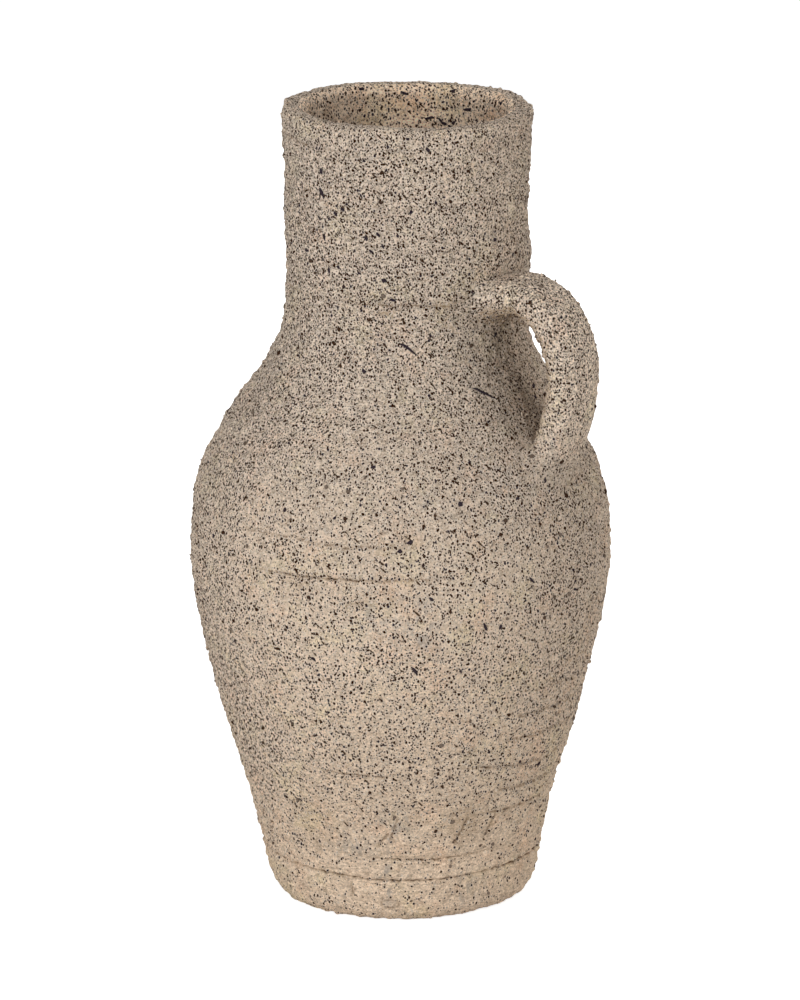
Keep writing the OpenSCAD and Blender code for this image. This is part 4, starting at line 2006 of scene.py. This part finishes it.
def screen(red: int, green: int, blue: int) -> Colour:
    """Linear colour of what a screen shows.

    Args:
        red: Its red part, 0 to 255.
        green: Its green part.
        blue: Its blue part.

    Returns:
        The colour with its alpha.
    """
    parts = [part / 255 for part in (red, green, blue)]
    linear = [p / 12.92 if p <= 0.04045 else ((p + 0.055) / 1.055) ** 2.4 for p in parts]
    return (*linear, 1.0)


@dataclass(frozen=True)
class SpeckLayer:
    """Layer of speckles: their spacing in mm, how uneven and soft they are, and how strong."""

    cell: float
    ragged: float
    softness: float
    strength: float


@dataclass(frozen=True)
class ClayFinish:
    """Finish of one kind of clay surface, with all its colours and levels."""

    name: str
    base: Colour
    warm: Colour
    cool: Colour
    straw: Colour = screen(200, 188, 150)
    # Painted light: the lower wall, which faces down, is made lighter and a little warmer towards
    # the foot
    foot_light: Colour = (1.17, 1.13, 1.08, 1.0)
    clouds: float = 0.32
    sand: float = 1.65
    smooth_sand: float = 0.85
    fine_gain: float = 1.0
    coarse_gain: float = 1.0
    rim: float = 0.75
    pale: Colour = screen(224, 211, 196)
    pebble: Colour = screen(122, 108, 96)
    speck: Colour = screen(48, 21, 1)
    dusk: Colour = screen(42, 34, 46)
    crumb: Colour = screen(104, 70, 38)
    # Colour of the painted shade along the floors of the creases
    crease_shade_tint: Colour = screen(76, 52, 32)
    # Colour of rust stains, and of painted warm shade by the handle and in the creases
    rust_and_shade: Colour = screen(152, 124, 90)
    smoke: Colour = screen(126, 130, 132)
    roughness: float = 0.93
    bump: float = 0.8
    fine: SpeckLayer = SpeckLayer(1.3, 0.3, 0.03, 0.97)
    crumbs: SpeckLayer = SpeckLayer(0.95, 0.5, 0.05, 0.8)
    middle: SpeckLayer = SpeckLayer(2.05, 0.4, 0.025, 0.96)
    blobs: SpeckLayer = SpeckLayer(9.0, 0.9, 0.02, 0.92)
    dashes: SpeckLayer = SpeckLayer(3.0, 0.35, 0.05, 0.93)

    def mark(self, graph: NodeGraph, mark: Mark) -> Socket:
        """Socket of a mark that the points carry."""
        node = graph.add("ShaderNodeAttribute", set_attribute_name=mark.value)
        return node.outputs["Fac"]

    def speckles(
        self, graph: NodeGraph, group: Tree, vector: Socket, layer: SpeckLayer,
        size: Value, share: Value,
    ) -> tuple[Socket, Socket, Socket]:
        """Adds a layer of speckles.

        Args:
            graph: Helper of the material's nodes.
            group: The speckles' node group.
            vector: Coordinates.
            layer: The layer.
            size: Radius of the grains, as a share of their spacing.
            share: Share of them that is there.

        Returns:
            Sockets of the mask, the tone and the pale rim.
        """
        node = graph.add("ShaderNodeGroup", set_node_tree=group, Vector=vector, Cell=layer.cell,
                         Size=size, Share=share, Ragged=layer.ragged, Softness=layer.softness)
        return node.outputs["Mask"], node.outputs["Tone"], node.outputs["Rim"]

    def build(self, speckle: Tree, mottle: Tree) -> bpy.types.Material:
        """Makes the material.

        Args:
            speckle: Group of the speckles.
            mottle: Group of the sandy mottle.

        Returns:
            The material.
        """
        material = bpy.data.materials.new(self.name)
        graph = cleared(material)
        add, fit, math, mix, times = graph.add, graph.fit, graph.math, graph.mix, graph.times
        place = add("ShaderNodeTexCoord").outputs["Object"]
        rise = add("ShaderNodeSeparateXYZ", Vector=place).outputs["Z"]
        pepper = times(self.mark(graph, Mark.PEPPER), self.fine_gain)
        coarse = times(self.mark(graph, Mark.PEPPER), self.coarse_gain)
        # The clay with its clouds, its lighter and darker patches (partly painted light and shade),
        # stains with painted warm shade, smoke, and painted shade in the creases
        sandy = add("ShaderNodeGroup", set_node_tree=mottle, Vector=place, Base=self.base,
                          Warm=self.warm, Cool=self.cool, Straw=self.straw, Pale=self.pale,
                          Clouds=self.clouds,
                          Sand=fit(rise, 0.2, 0.34, self.smooth_sand, self.sand),
                          Skin=fit(rise, 0.02, 0.2, 1.0, 0.1, False))
        low = fit(rise, 0.03, 0.33, 1.0, 0.0)
        # Painted light that lifts the downward-facing lower wall towards the foot
        colour = mix(low, sandy.outputs["Color"], self.foot_light, "MULTIPLY")
        # Lighter or darker clay, partly painted light and shade inside the mouth and on the handle
        fired = fit(self.mark(graph, Mark.TONE_AND_LIGHT), -0.5, 1.5, 0.5, 1.5, False)
        colour = mix(1.0, colour, graph.grey(fired), "MULTIPLY")
        # Rust stains, and painted warm shade beside and under the handle
        colour = mix(self.mark(graph, Mark.STAIN_AND_SHADE), colour, self.rust_and_shade)
        upright = graph.mapped(place, Scale=(1.0, 1.0, 0.35))
        streaks = fit(graph.noise(upright, 330.0, 2.0, 0.55), 0.46, 0.62)
        smoky = times(self.mark(graph, Mark.SMOKE), streaks)
        colour = mix(smoky, colour, self.smoke)
        # Painted shade in the creases: a soft brown tint and a dark broken line along their floors
        broken = fit(graph.noise(place, 260.0, 3.0, 0.6), 0.34, 0.56, 0.4, 1.0)
        pressed = self.mark(graph, Mark.CREASE_SHADE)
        colour = mix(times(pressed, 0.4), colour, self.rust_and_shade)
        line = times(math("POWER", pressed, 2.0), 1.5)
        colour = mix(math("MULTIPLY", line, broken, True), colour, self.crease_shade_tint)
        # The speckles, from the finest to the largest
        tall = graph.mapped(place, Scale=(1.0, 1.0, 0.8))
        size = fit(pepper, 0.1, 1.3, 0.40, 0.44, False)
        share = times(pepper, fit(rise, 0.22, 0.34, 0.6, 0.84))
        fine, _, fine_rim = self.speckles(graph, speckle, tall, self.fine, size, share)
        share = times(pepper, 0.28)
        crumbs, _, _ = self.speckles(graph, speckle, tall, self.crumbs, 0.38, share)
        belt = times(fit(rise, 0.03, 0.09), fit(rise, 0.2, 0.3, 1.0, 0.0))
        size = fit(coarse, 0.1, 1.3, 0.365, 0.37, False)
        share = math("ADD", times(low, 0.12), times(belt, 0.14))
        share = math("ADD", times(coarse, 0.5), share)
        middle, tone, middle_rim = self.speckles(graph, speckle, tall, self.middle, size, share)
        share = math("ADD", times(coarse, 0.16), 0.05)
        blobs, dark_tone, _ = self.speckles(graph, speckle, place, self.blobs, 0.16, share)
        lean = graph.mapped(place, set_vector_type="TEXTURE", Scale=(3.4, 1.0, 1.0),
                            Rotation=(0.0, np.radians(42.0), np.radians(35.0)))
        share = times(coarse, 0.7)
        dashes, _, _ = self.speckles(graph, speckle, lean, self.dashes, 0.2, share)
        spot = mix(fit(tone, 0.84, 0.88), self.speck, self.dusk)
        blob = mix(fit(dark_tone, 0.45, 0.55), self.speck, self.dusk)
        rims = times(math("MAXIMUM", fine_rim, middle_rim), self.rim)
        colour = mix(rims, colour, self.pale)
        for mask, layer, tint in (
            (crumbs, self.crumbs, self.crumb), (fine, self.fine, self.speck),
            (middle, self.middle, spot), (dashes, self.dashes, self.speck),
            (blobs, self.blobs, blob),
        ):
            colour = mix(times(mask, layer.strength), colour, tint)
        # The proud grains
        grain = self.mark(graph, Mark.GRAIN)
        tint = mix(fit(grain, 0.6, 0.8), self.pebble, self.speck)
        tint = mix(fit(grain, 0.93, 0.99), tint, self.dusk)
        colour = mix(fit(grain, 0.3, 0.5, 0.0, 0.95), colour, tint)
        height = math("ADD", sandy.outputs["Height"], times(middle, 0.5))
        bump = add("ShaderNodeBump", Height=height, Strength=self.bump, Distance=0.6 * MM)
        rough = fit(middle, 0, 1, self.roughness, self.roughness - 0.2, False)
        shader = add("ShaderNodeBsdfPrincipled", Base_Color=colour, Roughness=rough,
                           Normal=bump.outputs[0], Specular_IOR_Level=0.015)
        graph.end("ShaderNodeOutputMaterial", shader)
        return material


OUTSIDE_CLAY = ClayFinish(
    "speckled clay outside", base=screen(200, 182, 163), warm=screen(210, 174, 146),
    cool=screen(178, 167, 148),
)
# Painted light: the inside gets a much paler base than the outside, to lift its dim, shaded clay
MOUTH_CLAY_PAINTED_LIGHT = ClayFinish(
    "speckled clay inside", base=screen(246, 222, 196), warm=screen(234, 184, 140),
    cool=screen(190, 176, 158), clouds=0.45, fine_gain=0.5, coarse_gain=1.7,
    sand=1.4, rust_and_shade=screen(206, 152, 104),
)
BARE_CLAY = ClayFinish(
    "bare clay of joints and foot", base=screen(200, 180, 158),
    warm=screen(200, 166, 140), cool=screen(180, 170, 156), fine_gain=0.6,
    coarse_gain=0.6,
)


@dataclass(frozen=True)
class Lamp:
    """Soft square lamp that faces the vase, in degrees, metres and watts."""

    name: str
    bearing: float
    elevation: float
    distance: float
    size: float
    power: float
    colour: Triple = (1.0, 1.0, 1.0)


@dataclass
class Studio:
    """Plain floor, soft lamps, pale world and the camera of the photograph."""

    centre: Triple = (0.0, 0.0, 0.22)
    floor_radius: float = 7.0
    world_level: float = 0.26
    view_bearing: float = -55.0
    camera_distance: float = 3.150
    camera_height: float = 1.1115
    camera_pitch: float = 15.73
    camera_roll: float = 0.59
    camera_aside: float = 2.48 / 5851.6
    lens: float = 210.66
    sensor: float = 36.0
    lamps: tuple[Lamp, ...] = (
        Lamp("key", -90.0, 5.0, 1.7, 1.1, 15.6),
        Lamp("front", -72.0, 42.0, 1.7, 0.8, 2.9),
        Lamp("fill", 21.0, 5.0, 1.9, 0.4, 8.0, (1.0, 0.965, 0.92)),
        Lamp("above", -10.0, 70.0, 1.6, 0.9, 4.8),
        Lamp("back", 130.0, 22.0, 1.9, 1.1, 13.0),
    )

    def direction(self, bearing: float, elevation: float) -> Vector:
        """Unit vector from the vase towards a bearing and an elevation, in degrees."""
        turn, rise = np.radians(bearing), np.radians(elevation)
        return Vector((np.cos(rise) * np.cos(turn), np.cos(rise) * np.sin(turn), np.sin(rise)))

    def add_lamp(self, lamp: Lamp) -> None:
        """Adds a lamp that faces the vase.

        Args:
            lamp: The lamp.
        """
        data = bpy.data.lights.new(lamp.name, "AREA")
        data.color, data.energy, data.size = lamp.colour, lamp.power, lamp.size
        light = add_object(lamp.name, data)
        towards = self.direction(lamp.bearing, lamp.elevation)
        light.location = Vector(self.centre) + towards * lamp.distance
        light.rotation_euler = towards.to_track_quat("Z", "Y").to_euler()

    def sees_backdrop(self, graph: NodeGraph) -> Socket:
        """Adds the test for rays that should meet a white backdrop.

        Args:
            graph: Nodes of the floor's material or of the world.

        Returns:
            A socket that is 1 for camera, glossy and transmission rays.
        """
        path = graph.add("ShaderNodeLightPath").outputs
        mirrored = graph.math("MAXIMUM", path["Is Glossy Ray"], path["Is Transmission Ray"])
        return graph.math("MAXIMUM", path["Is Camera Ray"], mirrored)

    def build_floor(self) -> None:
        """Adds the pale floor, which keeps the vase's shadow."""
        turn = np.linspace(0, 2 * np.pi, 96, endpoint=False)
        ring = [(self.floor_radius * np.cos(a), self.floor_radius * np.sin(a), 0.0) for a in turn]
        mesh = bpy.data.meshes.new("floor")
        mesh.from_pydata(ring, [], [tuple(range(len(ring)))])
        floor = add_object("floor", mesh)
        material = bpy.data.materials.new("pale floor")
        graph = cleared(material)
        matt = graph.add("ShaderNodeBsdfDiffuse", Color=(0.86, 0.86, 0.86, 1))
        glow = graph.add("ShaderNodeEmission", Color=(1, 1, 1, 1), Strength=0.8)
        off = graph.add("ShaderNodeEmission", Color=(0, 0, 0, 1), Strength=0.0)
        lit = graph.add("ShaderNodeMixShader")
        graph.feed(lit.inputs[0], self.sees_backdrop(graph))
        graph.feed(lit.inputs[1], off.outputs[0])
        graph.feed(lit.inputs[2], glow.outputs[0])
        both = graph.add("ShaderNodeAddShader")
        graph.feed(both.inputs[0], matt.outputs[0])
        graph.feed(both.inputs[1], lit.outputs[0])
        graph.end("ShaderNodeOutputMaterial", both)
        floor.data.materials.append(material)

    def build_world(self) -> None:
        """Sets the world: plain light for the vase, and white for rays that see it."""
        world = bpy.data.worlds.new("studio")
        bpy.context.scene.world = world
        graph = cleared(world)
        level = graph.fit(self.sees_backdrop(graph), 0, 1, self.world_level, 1.0, False)
        shade = graph.add("ShaderNodeBackground", Color=(1, 1, 1, 1), Strength=level)
        graph.end("ShaderNodeOutputWorld", shade)

    def build_camera(self) -> None:
        """Sets the camera that was fitted to the photograph."""
        turn = np.radians(self.view_bearing)
        ahead = Vector((-np.cos(turn), -np.sin(turn), 0.0))
        right = ahead.cross(Vector((0, 0, 1)))
        ahead, right = (
            ahead * np.cos(self.camera_aside) - right * np.sin(self.camera_aside),
            right * np.cos(self.camera_aside) + ahead * np.sin(self.camera_aside),
        )
        pitch, roll = np.radians(self.camera_pitch), np.radians(self.camera_roll)
        forward = ahead * np.cos(pitch) - Vector((0, 0, 1)) * np.sin(pitch)
        above = right.cross(forward)
        tilted = right * np.cos(roll) + above * np.sin(roll)
        upright = above * np.cos(roll) - right * np.sin(roll)
        data = bpy.data.cameras.new("camera")
        data.sensor_fit = "VERTICAL"
        data.sensor_height = self.sensor
        data.lens = self.lens
        data.clip_end = 50.0
        camera = add_object("camera", data)
        place = Vector((np.cos(turn), np.sin(turn), 0.0)) * self.camera_distance
        place.z = self.camera_height
        matrix = Matrix((tilted, upright, -forward)).transposed().to_4x4()
        matrix.translation = place
        camera.matrix_world = matrix
        bpy.context.scene.camera = camera

    def build(self) -> None:
        """Sets up the whole studio."""
        self.build_camera()
        self.build_floor()
        self.build_world()
        for lamp in self.lamps:
            self.add_lamp(lamp)
        bpy.context.scene.view_settings.view_transform = "Standard"


def main() -> None:
    """Builds the vase and its studio, and reports each piece."""
    logging.basicConfig(level=logging.INFO, format="%(name)s: %(message)s")
    Studio().build()
    speckle, mottle = speckle_group(), mottle_group()
    materials = [f.build(speckle, mottle) for f in (OUTSIDE_CLAY, MOUTH_CLAY_PAINTED_LIGHT, BARE_CLAY)]
    form = VesselForm()
    shop = Workshop(form, Colouring(form), Grit(form), materials)
    BaseSlab().build(shop)
    sections = (
        FootBand("foot_band_clay", "foot_band", FOOT_SEAM, FOOT_SEAM, 1),
        WallSection("heel_coil_clay", "heel_coil", FOOT_SEAM, HEEL_SEAM, 2),
        WallSection("lower_wall_clay", "lower_wall", HEEL_SEAM, LOWER_SEAM, 3),
        WallSection("belly_wall_clay", "belly_wall", LOWER_SEAM, BELLY_SEAM, 4),
        WallSection("shoulder_wall_clay", "shoulder_wall", BELLY_SEAM, NECK_SEAM, 5, row=1.55),
        WallSection("neck_wall_clay", "neck_wall", NECK_SEAM, RIM_SEAM, 6),
        RimCoil("rim_coil_clay", "rim_coil", RIM_SEAM, RIM_SEAM, 10),
    )
    for section in sections:
        section.build(shop)
    StrapHandle(form).build(shop)


if __name__ == "__main__":
    main()
